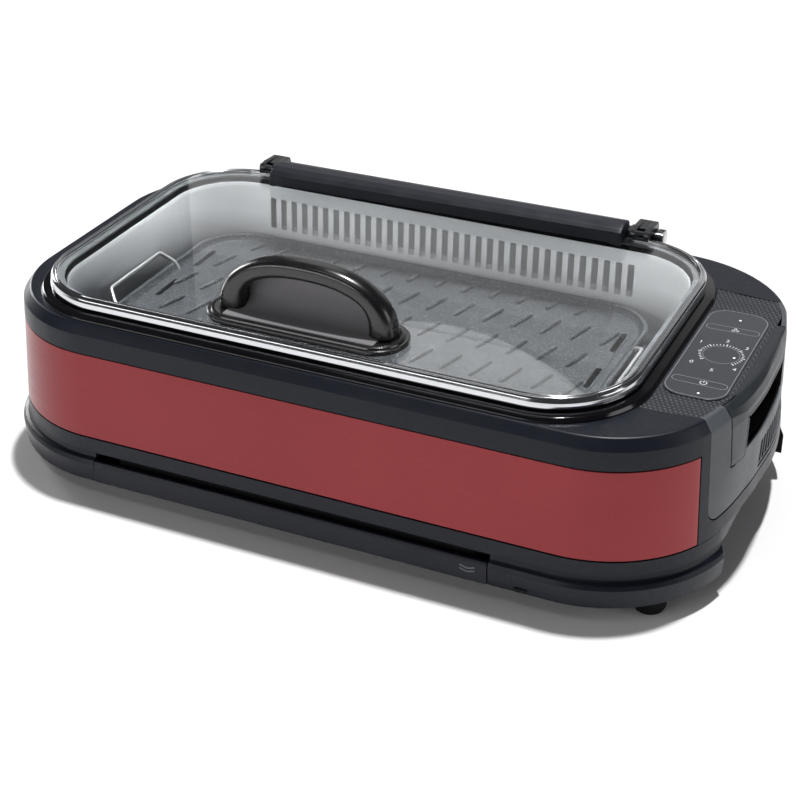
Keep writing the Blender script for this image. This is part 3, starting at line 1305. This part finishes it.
# ------------------------------------------------------------------ grill plate
def plate():
    x0, x1, y0, y1 = -207.0, 160.0, -106.0, 109.0
    P = rrect_path(x0, x1, y0, y1, 40)
    prof = fillet([(-12.0, 88.4), (-6.2, 88.4), (-4.4, 90.6), (-3.4, 92.9), (-0.8, 93.0), (0.0, 91.8), (-1.6, 82.6), (-12.0, 82.0)],
                  [0.0, 1.6, 1.2, 1.0, 0.9, 0.8, 1.2, 0], n=5)
    sweep("plate_rim", P, ring_stops(P, 2.5), prof, "plate", closed=True, body="plate", rep=("grill_plate",), angle=40)
    slots = [rr_loop(x - 2, x + 2, y - 15, y + 15, 1.9, 5) for x in (x0 + 15.5, x1 - 15.5) for y in (-55, 1, 57)]
    me = flat_plate([loop_pts(P, -11.8, 3.0)] + slots, 82.2, 88.9, 0.5)
    wrap("plate_deck", me, "plate", body="plate", angle=40)
    # slanted ribs with rounded backs
    parts = []
    for r in range(-3, 3):
        edge = r in (-3, 2)
        for c in range(-8, 8):
            x = -7.7 + 22.3 * c + (abs(r) % 2) * 11.15
            y = -90 if r == -3 else 91 if r == 2 else 20 + 39.2 * r
            l = 15 if edge else 27
            if not (x > x0 + 20 and x < x1 - 20) or (edge and (x < x0 + 36 or x > x1 - 36)):
                continue
            ca, sa = math.cos(-15 * D2), math.sin(-15 * D2)
            n, m = 16, 9
            verts, faces = [], []
            for i in range(n + 1):
                u = -1 + 2 * i / n
                w = math.sqrt(max(0.0, 1 - abs(u) ** 6))
                for j in range(m + 1):
                    a = math.pi * j / m
                    lx = math.cos(a) * 1.9 * max(w, 0.02)
                    lz = 88.7 + 2.5 * (math.sin(a) ** 0.8) * max(w, 0.02)
                    ly = u * l / 2
                    verts.append((x + lx * ca - ly * sa, y + lx * sa + ly * ca, lz))
            for i in range(n):
                for j in range(m):
                    faces.append((i * (m + 1) + j, (i + 1) * (m + 1) + j, (i + 1) * (m + 1) + j + 1, i * (m + 1) + j + 1))
                faces.append((i * (m + 1), i * (m + 1) + m, (i + 1) * (m + 1) + m, (i + 1) * (m + 1)))
            faces.append(tuple(range(m + 1)))
            faces.append(tuple(n * (m + 1) + j for j in range(m + 1))[::-1])
            parts.append((verts, faces))
    v, f = join_parts(parts)
    make("plate_ribs", v, f, "plate", body="plate", slot="grill_plate", angle=50)
    # feet under the plate
    parts = []
    pr = fillet([(0, 63.9), (5.2, 63.9), (6.2, 66), (6.2, 82.4), (0, 82.4)], [0, 0.8, 0.8, 0, 0], n=4, closed=False)
    for px in (-189, 143):
        for py in (-89, 90.5):
            parts.append(lathe("l", pr, (px, py, 0), "plate", n=32))
    v, f = join_parts(parts)
    make("plate_feet", v, f, "plate", body="plate", slot="grill_plate", angle=40)
    # wire lifting loops at both ends
    parts = []
    left = [(-201.0, -46.0, 87.0), (-204.0, -46.6, 92.6), (-206.8, -46.0, 94.6), (-214.6, -38.4, 100.8), (-214.6, 30.0, 100.6), (-206.4, 33.2, 94.6), (-203.6, 33.8, 92.6), (-200.8, 33.8, 87.0)]
    right = [(156.5, -44.0, 87.6), (160.0, -44.0, 92.8), (165.5, -41.5, 94.2), (165.5, 44.5, 94.2), (160.0, 47.0, 92.8), (156.5, 47.0, 87.6)]
    for run in (left, right):
        pts = [run[0]]
        for a, b, c in zip(run, run[1:], run[2:]):
            va, vc = Vector(a) - Vector(b), Vector(c) - Vector(b)
            d = min(2.6, va.length * 0.42, vc.length * 0.42)
            p0, p2 = Vector(b) + va.normalized() * d, Vector(b) + vc.normalized() * d
            for k in range(6):
                u = k / 5
                q = p0.lerp(Vector(b), u).lerp(Vector(b).lerp(p2, u), u)
                pts.append(tuple(q))
        pts.append(run[-1])
        parts.append(tube(pts, 1.45, 14))
    v, f = join_parts(parts)
    make("lift_loops", v, f, "wire", body="plate", rep=("plate_loops",), angle=60)


plate()


# ------------------------------------------------------------------ control end
def cheek():
    """Side wall of the control end: a bent sheet with the hand opening and the louvre window."""
    V0, V1 = 57.0, 121.0        # heights run as the second coordinate of the flat sheet
    a, b = S_CF + 0.45, S_CR - 0.45
    s_of = lambda y, lo=S_FR, hi=S_RE: TOP.find(lo, hi, lambda X, Y: Y - y)
    h1 = s_of(44.0)
    w0, w1 = s_of(-16.6), s_of(88.0)
    g0, g1 = s_of(-67.4), s_of(58.4)      # carry handle seams
    lo_, up_ = s_of(-49.6), s_of(-45.8)   # slanted front edge of the hand opening
    hk = s_of(-61.5)
    r = 10.0
    zo, zt = 91.6, 113.4
    out = []
    out += [(a + r - r * math.cos(t * D2), V0 + r - r * math.sin(t * D2)) for t in range(0, 91, 10)]
    out += [(b - 3 + 3 * math.sin(t * D2), V0 + 3 - 3 * math.cos(t * D2)) for t in range(0, 91, 30)]
    out += [(b, V1), (g1, V1), (g1, zt), (h1 + 0.2, zt), (h1, 104.0)]
    rr = 8.0
    out += [(h1 - rr + rr * math.cos(t * D2), zo + rr - rr * math.sin(t * D2)) for t in range(0, 91, 15)]
    out += [(lo_ + 0.5, zo), (lo_ + 0.25, zo - 0.6), (lo_ + 0.25, 88.0), (hk, 88.0), (hk, 87.1)]
    out += [(g0 + 1.4, 87.1), (g0 + 0.3, 87.6), (g0 - 0.05, 88.6)]
    out += [(g0 - 0.05, V1), (a, V1)]
    hole = rr_loop(w0, w1, 60.0, 82.0, 2.6, 5)
    me = flat_plate([out, hole], -2.8, 0.0, 0.45, 3)
    slice_mesh(me, 0, TOP.stops(a - 1, b + 1, 2.6))
    slice_mesh(me, 1, [62, 67, 72, 77, 82, 87, 92, 97, 103.5, 109, 115])

    def fn(s, z, c):
        x, y, nx, ny = TOP.at(s)
        d = wall_d(s, z) + c
        return (x + nx * d, y + ny * d, z)
    bend(me, fn)
    wrap("control_wall", me, "control", rep=("control_cheek",), angle=36)

    # filler that keeps the shell flush outside the rounded lower corner
    def filler(name, sc, zc, sg):
        pts = [(sc - sg * (r + 0.45), zc - r - 0.9), (sc + sg * 0.0, zc - r - 0.9)]
        pts += [(sc - sg * (r + 0.9) * math.sin(t * D2) * (r + 0.45) / (r + 0.9), zc - (r + 0.9) * math.cos(t * D2)) for t in range(0, 91, 9)]
        me = flat_plate([pts], -2.4, 0.0, 0.02, 1)
        slice_mesh(me, 0, [sc - sg * k for k in (2, 4, 6, 8)])
        bend(me, fn)
        wrap(name, me, "shell", angle=30)
    filler("corner_filler_front", a + r, V0 + r, 1)

    # sill of the shell under the control end
    me = flat_plate([[(S_CF - 0.8, 44.9), (S_CR + 0.8, 44.9), (S_CR + 0.8, 56.1), (S_CF - 0.8, 56.1)]], -3.0, 0.0, 0.4, 2)
    slice_mesh(me, 0, TOP.stops(S_CF - 1, S_CR + 1, 2.6))
    slice_mesh(me, 1, [48, 52])
    bend(me, fn)
    wrap("control_end_sill", me, "shell", angle=36)

    # rim from the wall over the chamfer to the deck, in two runs beside the handle
    def rim(name, s0, s1, mat):
        def prof(s, x, y):
            w = wall_d(s, 121.5)
            t = rim_top(s)
            o = fillet([(wall_d(s, 120.8), 120.9), (w, 121.6), (t, 128.5), (-8.7, 128.5)], [0, 1.6, 1.9, 0], n=5, closed=False)
            return o + [(-8.7, 126.2), (t - 0.6, 125.6), (w - 3.0, 120.9)]
        st = TOP.stops(s0, s1, 2.6)
        return sweep(name, TOP, st, prof, mat, slot="control_cheek", angle=30)
    rim("control_rim_front", a, g0, "control")
    rim("control_rim_rear", g1, b, "control")

    # carry handle: broad convex strip, lip above the opening, leg in front of it
    ga, gb = g0 + 0.85, g1 - 0.85

    def hprof(s, x, y):
        nx = TOP.at(s)[2]
        t = smooth(ga, ga + 20, s) * (1 - smooth(gb - 16, gb, s))
        w115, w121 = wall_d(s, 115), wall_d(s, 121.5)
        top = rim_top(s)
        din = min(top - 1.6, (253.6 - x) / max(0.2, nx))
        pts = [(w115 - 3.4, 116.4), (w115 - 1.2, 113.6), (w115 - 0.1, 114.4), (lerp(w121, w115 * 0.6 + w121 * 0.4, t), lerp(121.6, 119.4, t)),
               (lerp((w121 + top) / 2, w121 - 1.6, t), 125.0), (lerp(top, top - 1.6, t), 128.3), (din, 128.5), (din, 126.0), (top - 2.0, 124.0), (w121 - 4.0, 119.5)]
        return fillet(pts, [0.6, 0.9, 0.8, 2.4, 3.0, 4.5, 0.3, 0.3, 1.0, 1.5], n=4)
    st = TOP.stops(ga, gb, 2.2)
    sweep("carry_handle_bar", TOP, st, hprof, "handle", rep=("carry_handle",), angle=34)
    # leg of the handle
    leg = [(ga, 88.9), (ga + 0.5, 88.1), (ga + 1.4, 88.1), (lo_ - 0.15, 88.1), (lo_ - 0.15, zo), (up_ - 0.1, 115.4), (ga, 115.4)]
    me = flat_plate([leg], -3.6, 0.0, 0.35, 2)
    slice_mesh(me, 0, TOP.stops(ga, up_, 2.2))
    slice_mesh(me, 1, [92, 96, 100, 104, 108, 112])
    bend(me, fn)
    wrap("carry_handle_leg", me, "control", angle=36)
    # moulded bead that edges the hand opening
    def bead(name, run, rad):
        pts = []
        for s, z in run:
            x, y, nx, ny = TOP.at(s)
            d = wall_d(s, z) - rad * 0.55
            pts.append((x + nx * d, y + ny * d, z))
        v, f = tube(pts, rad, 10)
        make(name, v, f, "rim_edge", slot="control_cheek", angle=60)
    run = [(lerp(up_, lo_, k / 6) + 0.35, lerp(112.6, zo + 0.8, k / 6)) for k in range(7)]
    ns = 46
    run += [(lerp(lo_ + 1.2, h1 - 8, k / ns), zo - 0.1) for k in range(ns + 1)]
    bead("hand_opening_lower_bead", run, 0.7)
    run = [(lerp(up_ + 0.6, h1 - 1, k / ns), 113.9) for k in range(ns + 1)]
    bead("hand_opening_upper_bead", run, 0.65)

    # pocket behind the opening
    h0 = s_of(-50.5)
    me = flat_plate([[(h0 - 1, 88.0), (h1 + 4, 88.0), (h1 + 4, 116.0), (h0 - 1, 116.0)]], -26.0, -24.5, 0.2, 1)
    slice_mesh(me, 0, TOP.stops(h0 - 1, h1 + 3, 4.0))
    bend(me, lambda s, z, c: (TOP.at(s)[0] + TOP.at(s)[2] * c, TOP.at(s)[1] + TOP.at(s)[3] * c, z))
    wrap("hand_pocket_back", me, "matte", angle=30)

    # louvre insert with angled blades behind its openings
    holes, blades = [], []
    y = -13.4
    while y < 84:
        sa, sb = s_of(y), s_of(y + 4.6)
        holes.append(rr_loop(sa, sb, 62.4, 79.6, 1.2, 4))
        y += 6.6
    me = flat_plate([rr_loop(w0 + 0.5, w1 - 0.5, 60.5, 81.5, 2.2, 5)] + holes, -3.0, -0.6, 0.35, 2)
    slice_mesh(me, 0, TOP.stops(w0, w1, 3.0))
    slice_mesh(me, 1, [66, 72, 76])
    bend(me, fn)
    wrap("vent_louvre", me, "control", rep=("side_louvre",), angle=36)
    y = -13.4
    while y < 84:
        sa, sb = s_of(y + 1.0), s_of(y + 4.4)
        v = []
        for s_, c_ in ((sa, -1.6), (sa + 0.9, -1.6), (sb + 0.9, -7.4), (sb, -7.4)):
            for z in (61.6, 80.4):
                x_, y_, nx, ny = TOP.at(s_)
                d = wall_d(s_, z) + c_
                v.append((x_ + nx * d, y_ + ny * d, z))
        blades.append((v, [(0, 1, 3, 2), (2, 3, 5, 4), (4, 5, 7, 6), (6, 7, 1, 0), (0, 2, 4, 6), (1, 7, 5, 3)]))
        y += 6.6
    v, f = join_parts(blades)
    make("vent_louvre_blades", v, f, "control", slot="side_louvre", angle=30, bevel=0.15)


cheek()


def inlay():
    """Textured deck field: staggered raised lozenges on a flat bed, open for the touch panel."""
    # boundary test in plan
    def inside(x, y):
        if not (-88.0 < y < 94.4) or x > 252.9:
            return False
        # outer edge: 9.2 mm inside the upper outline
        for c, r, lo, hi in ((FRc, FRr, -90, AF), (ENc, ENr, AF, AR), (RRc, RRr, AR, 90)):
            a = math.degrees(math.atan2(y - c[1], x - c[0]))
            if lo <= a <= hi and math.hypot(x - c[0], y - c[1]) > r - 8.9:
                return False
        # collar
        g = 9.9
        dx = max(0.0, abs(x + 16.2) - (212.8 - 58))
        dy = max(0.0, abs(y - 1.1) - (125.7 - 58))
        if math.hypot(dx, dy) < 58 + g and abs(x + 16.2) < 212.8 + g:
            return False
        # panel
        px = max(0.0, abs(x - 228.3) - (21.3 - 14))
        py = max(0.0, abs(y - 1.0) - (64 - 14))
        if math.hypot(px, py) < 14.25:
            return False
        return True

    step = 0.5
    x0, x1, y0, y1 = 186.0, 253.4, -89.0, 95.0
    nx, ny = int((x1 - x0) / step) + 1, int((y1 - y0) / step) + 1
    idx = {}
    verts, faces = [], []

    def height(x, y):
        px, py = 3.3, 3.1
        row = math.floor(y / py)
        v = (y / py - row) - 0.5
        u = (x / px + (0.5 if row % 2 else 0.0) + v * 0.55)
        u = (u - math.floor(u)) - 0.5
        a = max(0.0, 1 - (abs(u) / 0.46) ** 3)
        b = max(0.0, 1 - (abs(v) / 0.42) ** 3)
        return 0.50 * a * b

    def vid(i, j):
        if (i, j) not in idx:
            x, y = x0 + i * step, y0 + j * step
            idx[(i, j)] = len(verts)
            verts.append((x, y, 127.85 + height(x, y)))
        return idx[(i, j)]
    for i in range(nx - 1):
        for j in range(ny - 1):
            cx, cy = x0 + (i + 0.5) * step, y0 + (j + 0.5) * step
            if inside(cx, cy):
                faces.append((vid(i, j), vid(i + 1, j), vid(i + 1, j + 1), vid(i, j + 1)))
    # close the skin downward
    bm = bmesh.new()
    me = bpy.data.meshes.new("textured_inlay_field")
    me.from_pydata([(v[0] * K, v[1] * K, v[2] * K) for v in verts], [], faces)
    bm.from_mesh(me)
    ed = [e for e in bm.edges if len(e.link_faces) == 1]
    ret = bmesh.ops.extrude_edge_only(bm, edges=ed)
    for g in ret["geom"]:
        if isinstance(g, bmesh.types.BMVert):
            g.co.z = 126.9 * K
    bm.to_mesh(me)
    bm.free()
    wrap("textured_inlay_field", me, "knurl", rep=("texture_inlay",), angle=60)
    # plain land under and around the field: closes the corners that the field leaves
    outer = []
    for s in TOP.stops(S_CF + 0.55, S_CR - 0.55, 3.0):
        x, y, nx_, ny_ = TOP.at(s)
        p = (x - 8.5 * nx_, y - 8.5 * ny_)
        outer.append((min(p[0], 253.3), p[1]))
    g = 8.6
    inner = []
    for yv in [94.6, 90, 85, 80, 75, 70, 65, 60, 40, 20, 0, -20, -40, -60, -65, -70, -75, -80, -85, -88.0]:
        cy = LY0 + LR if yv < 0 else LY1 - LR
        if abs(yv - 1.1) > (LY1 - LY0) / 2 - LR:
            inner.append((LX1 - LR + math.sqrt((LR + g) ** 2 - (yv - cy) ** 2), yv))
        else:
            inner.append((LX1 + g, yv))
    outer = [(x, max(-88.0, min(94.4, y))) for x, y in outer]
    me = flat_plate([outer + inner], 125.4, 127.7, 0.15, 1)
    wrap("control_deck_bed", me, "control", angle=30)


inlay()


# ------------------------------------------------------------------ touch panel and its print
def panel():
    me = flat_plate([rr_loop(207.2, 249.4, -62.8, 64.8, 13.9, 12)], 127.0, 128.95, 0.45, 3)
    wrap("touch_panel_face", me, "panel", rep=("touch_panel",), angle=40)
    z0, z1 = 128.93, 129.0

    def stroke(pts, w, closed=False):
        """Flat printed line of width w."""
        n = len(pts)
        v, f = [], []
        for i, p in enumerate(pts):
            a = pts[i - 1] if (i or closed) else p
            b = pts[(i + 1) % n] if (i < n - 1 or closed) else p
            tx, ty = b[0] - a[0], b[1] - a[1]
            L = math.hypot(tx, ty) or 1
            ox, oy = -ty / L * w / 2, tx / L * w / 2
            v += [(p[0] + ox, p[1] + oy, z1), (p[0] - ox, p[1] - oy, z1), (p[0] - ox, p[1] - oy, z0), (p[0] + ox, p[1] + oy, z0)]
        m = n if closed else n - 1
        for i in range(m):
            a, b = 4 * i, 4 * ((i + 1) % n)
            for q in range(4):
                f.append((a + q, a + (q + 1) % 4, b + (q + 1) % 4, b + q))
        if not closed:
            f += [(3, 2, 1, 0), (4 * n - 4, 4 * n - 3, 4 * n - 2, 4 * n - 1)]
        return v, f

    def disc(cx, cy, r, n=20):
        v = [(cx + r * math.cos(2 * math.pi * k / n), cy + r * math.sin(2 * math.pi * k / n), z1) for k in range(n)]
        v += [(a, b, z0) for a, b, c in v]
        f = [tuple(range(n)), tuple(range(n, 2 * n))[::-1]]
        f += [(k, n + k, n + (k + 1) % n, (k + 1) % n) for k in range(n)]
        return v, f

    dim, bright, led = [], [], []
    dim.append(stroke(rr_loop(208.4, 248.2, -61.6, 63.6, 13.0, 12), 0.35, True))
    # dial: ring and ticks
    cx, cy = 231.2, -1.2
    dim.append(stroke(circle_loop(cx, cy, 12.0, 64), 0.3, True))
    for k in range(31):
        a = (225 - 9 * k) * D2
        r0, r1 = (13.0, 15.6) if k % 5 == 0 else (13.2, 14.8)
        bright.append(stroke([(cx + r0 * math.cos(a), cy + r0 * math.sin(a)), (cx + r1 * math.cos(a), cy + r1 * math.sin(a))], 0.75 if k % 5 == 0 else 0.6))
    # buttons: outlines and plain symbols
    for (ax, ay), (bx, by), hw in (((214.0, 36.2), (243.2, 36.8), 3.4), ((214.0, -42.2), (243.0, -42.8), 3.6)):
        t = math.atan2(by - ay, bx - ax)
        pts = []
        for c0, base in (((bx, by), -90), ((ax, ay), 90)):
            for k in range(9):
                an = t + (base + 180 * k / 8) * D2
                pts.append((c0[0] + hw * math.cos(an), c0[1] + hw * math.sin(an)))
        dim.append(stroke(pts, 0.35, True))
    # fan symbol
    fx, fy = 230.4, 36.5
    for k in range(3):
        a = (90 + 120 * k) * D2
        pts = []
        for q in range(13):
            w = q / 12 * 2 * math.pi
            ux, uy = 1.35 + 1.25 * math.cos(w), 0.78 * math.sin(w) + 0.35
            pts.append((fx + ux * math.cos(a) - uy * math.sin(a), fy + ux * math.sin(a) + uy * math.cos(a)))
        bright.append(stroke(pts[:-1], 0.42, True))
    bright.append(disc(fx, fy, 0.5))
    # power symbol
    qx, qy = 231.0, -42.5
    bright.append(stroke([(qx + 2.2 * math.cos((120 + 300 * k / 20) * D2), qy + 2.2 * math.sin((120 + 300 * k / 20) * D2)) for k in range(21)], 0.55))
    bright.append(stroke([(qx, qy + 0.2), (qx, qy + 2.8)], 0.55))
    for x, y in ((229.7, 51.9), (231.8, -56.8), (239.9, -2.1)):
        led.append(disc(x, y, 0.85))
    v, f = join_parts(bright)
    make("panel_print", v, f, "ink", slot="touch_panel", angle=30)
    v, f = join_parts(dim)
    make("panel_outline_print", v, f, "ink_dim", slot="touch_panel", angle=30)
    v, f = join_parts(led)
    make("panel_indicators", v, f, "led", slot="touch_panel", angle=30)
    # plain numbers round the dial
    k = 0
    for txt, x, y in (("1", 214.0, 11.7), ("2", 230.0, 19.0), ("3", 244.2, 14.0), ("4", 244.2, -17.5), ("5", 231.0, -24.0), ("0", 216.0, -18.0)):
        cu = bpy.data.curves.new("num", "FONT")
        cu.body = txt
        cu.size = 5.2 * K
        cu.extrude = 0.035 * K
        cu.align_x = "CENTER"
        cu.align_y = "CENTER"
        ob = bpy.data.objects.new("num", cu)
        bpy.context.scene.collection.objects.link(ob)
        dg = bpy.context.evaluated_depsgraph_get()
        me = bpy.data.meshes.new_from_object(ob.evaluated_get(dg))
        bpy.data.objects.remove(ob)
        me.transform(Matrix.Translation((x * K, y * K, 128.965 * K)))
        wrap("dial_number_%d" % k, me, "ink", angle=30)
        k += 1


panel()


# ------------------------------------------------------------------ rear vent cover
def rear_vent():
    holes = [rr_loop(i * 8.2 - 2.2, i * 8.2 + 2.2, 67, 93, 1.8, 5) for i in range(-13, 14)]
    me = flat_plate([rr_loop(-125, 125, 56, 104, 8, 8)] + holes, 0.0, 3.5, 0.7, 3)
    # stand it on the rear wall
    bend(me, lambda a, b, c: (a, 147.4 + c, b))
    wrap("rear_vent_grille", me, "matte", rep=("rear_vent_cover",), angle=36)


rear_vent()


# ------------------------------------------------------------------ finishes of the carried-over CAD nodes
KEEP = {
    "foot_screws": ("steel", 0.15), "case_screws": ("steel", 0.15), "drip_chute": ("alu", 0.2),
    "vent_duct": ("galv", 0.0), "control_board": ("board", 0.0), "power_board": ("board", 0.0),
    "hand_cup": ("matte", 0.4), "fan_scroll": ("matte", 0.0), "fan_motor": ("galv", 0.0),
    "fan_shaft": ("steel", 0.0), "fan_wheel": ("matte", 0.0), "heating_element": ("element", 0.0),
    "element_supports": ("steel", 0.0), "reflector": ("alu", 0.0), "terminal_block": ("ceramic", 0.4),
    "thermostat_probe": ("brass", 0.0), "thermostat_body": ("phenolic", 0.3), "inlet_shroud": ("matte", 0.5),
    "inlet_pins": ("brass", 0.2), "tray_rails": ("matte", 0.3), "hinge_brackets": ("clip", 0.3),
    "drip_tray": ("tray", 0.4), "hinge_pins": ("steel", 0.2),
    "grip_screws": ("steel", 0.2),
}
for n, (mat, bev) in KEEP.items():
    ob = NODES[n]
    ob.data.materials.clear()
    ob.data.materials.append(M[mat])
    if bev:
        w = ob.modifiers.new("Weld", "WELD")
        w.merge_threshold = 1e-6
        b = ob.modifiers.new("Bevel", "BEVEL")
        b.width = bev * K
        b.segments = 2
        b.limit_method = "ANGLE"
        b.angle_limit = 40 * D2
for n, ob in NODES.items():
    if n not in KEEP and not ob.hide_render:
        ob.data.materials.clear()
        ob.data.materials.append(M["shell"])

# ------------------------------------------------------------------ stage
def studio():
    me = bpy.data.meshes.new("floor")
    me.from_pydata([(-9, -6, 0), (9, -6, 0), (9, 12, 0), (-9, 12, 0)], [], [(0, 1, 2, 3)])
    fl = bpy.data.objects.new("floor", me)
    m, nt, p = new_mat("pale_floor")
    t = Tree(nt)
    c = t.mix(t.maprange(t.noise(1.2, 3), 0.3, 0.7, 0, 1), (0.86, 0.86, 0.865), (0.88, 0.88, 0.885))
    t.link(c, p.inputs["Base Color"])
    p.inputs["Roughness"].default_value = 0.6
    p.inputs["Specular IOR Level"].default_value = 0.2
    me.materials.append(m)
    bpy.context.scene.collection.objects.link(fl)

    def area(name, loc, target, size, energy, size_y=None, col=(1, 1, 1), shape="RECTANGLE"):
        li = bpy.data.lights.new(name, "AREA")
        li.shape = shape
        li.size = size
        li.size_y = size_y or size
        li.energy = energy
        li.color = col
        ob = bpy.data.objects.new(name, li)
        bpy.context.scene.collection.objects.link(ob)
        ob.location = loc
        d = Vector(target) - Vector(loc)
        ob.rotation_euler = d.to_track_quat("-Z", "Y").to_euler()
        return ob
    area("key_overhead", (0.2, 1.05, 6.0), (0.0, 0.0, 0.08), 0.26, 385, 0.26)
    # the soft screen behind: bands that fall off upward, each in three overlapping widths so its left edge is feathered
    bands = ((1.005, 1.11, 3.75), (1.61, 0.10, 3.25), (1.71, 0.10, 2.60), (1.81, 0.10, 1.85), (1.91, 0.10, 1.10), (2.01, 0.10, 0.45))
    for k, (zc, tall, rad) in enumerate(bands):
        for n, (left, share) in enumerate(((-2.05, 0.45), (-1.90, 0.30), (-1.75, 0.25))):
            wide = 1.35 - left
            area("back_band_%d_%d" % (k, n), (left + wide / 2, 3.0, zc), (left + wide / 2, 0, zc), wide, share * rad * wide * tall, tall)
    area("glare_disk", (-1.07, 2.34, 2.24), (0, 0, 0.1), 1.38, 3.6, shape="DISK")
    area("front_low", (-1.3, -2.5, 1.0), (0, 0, 0.1), 2.5, 22, 0.8)
    area("top_strip", (-0.2, -1.0, 1.9), (0, 0, 0.14), 1.2, 2.2, 0.3)
    area("side_right", (2.4, 0.2, 0.8), (0.2, 0, 0.08), 1.2, 8, 1.0)
    area("side_left", (-2.1, 0.9, 0.55), (-0.2, 0, 0.08), 0.5, 18, 0.9)
    w = bpy.data.worlds.new("studio")
    bpy.context.scene.world = w
    w.use_nodes = True
    bg = w.node_tree.nodes["Background"]
    bg.inputs[0].default_value = (0.95, 0.97, 1.0, 1)
    bg.inputs[1].default_value = 0.04
    sc = bpy.context.scene
    sc.view_settings.view_transform = "Standard"
    sc.view_settings.look = "None"
    sc.view_settings.exposure = 0.0
    sc.view_settings.gamma = 1.0


studio()


def camera():
    cam = bpy.data.cameras.new("camera")
    ob = bpy.data.objects.new("camera", cam)
    bpy.context.scene.collection.objects.link(ob)
    az, el, roll = 24.64 * D2, 29.56 * D2, 0.03 * D2
    back = Vector((math.sin(az) * math.cos(el), -math.cos(az) * math.cos(el), math.sin(el)))
    right = Vector((math.cos(az), math.sin(az), 0))
    up = back.cross(right)
    r2 = right * math.cos(roll) + up * math.sin(roll)
    u2 = up * math.cos(roll) - right * math.sin(roll)
    T = Vector((-0.011, 0.02625, 0.0237))
    pos = T + back * 1.2845
    mt = Matrix(((r2.x, u2.x, back.x, pos.x), (r2.y, u2.y, back.y, pos.y), (r2.z, u2.z, back.z, pos.z), (0, 0, 0, 1)))
    ob.matrix_world = mt
    cam.sensor_fit = "HORIZONTAL"
    cam.sensor_width = 36.0
    cam.lens = 36.0 * 1729.25 / 800.0
    cam.clip_start = 0.05
    cam.clip_end = 60
    bpy.context.scene.camera = ob


camera()
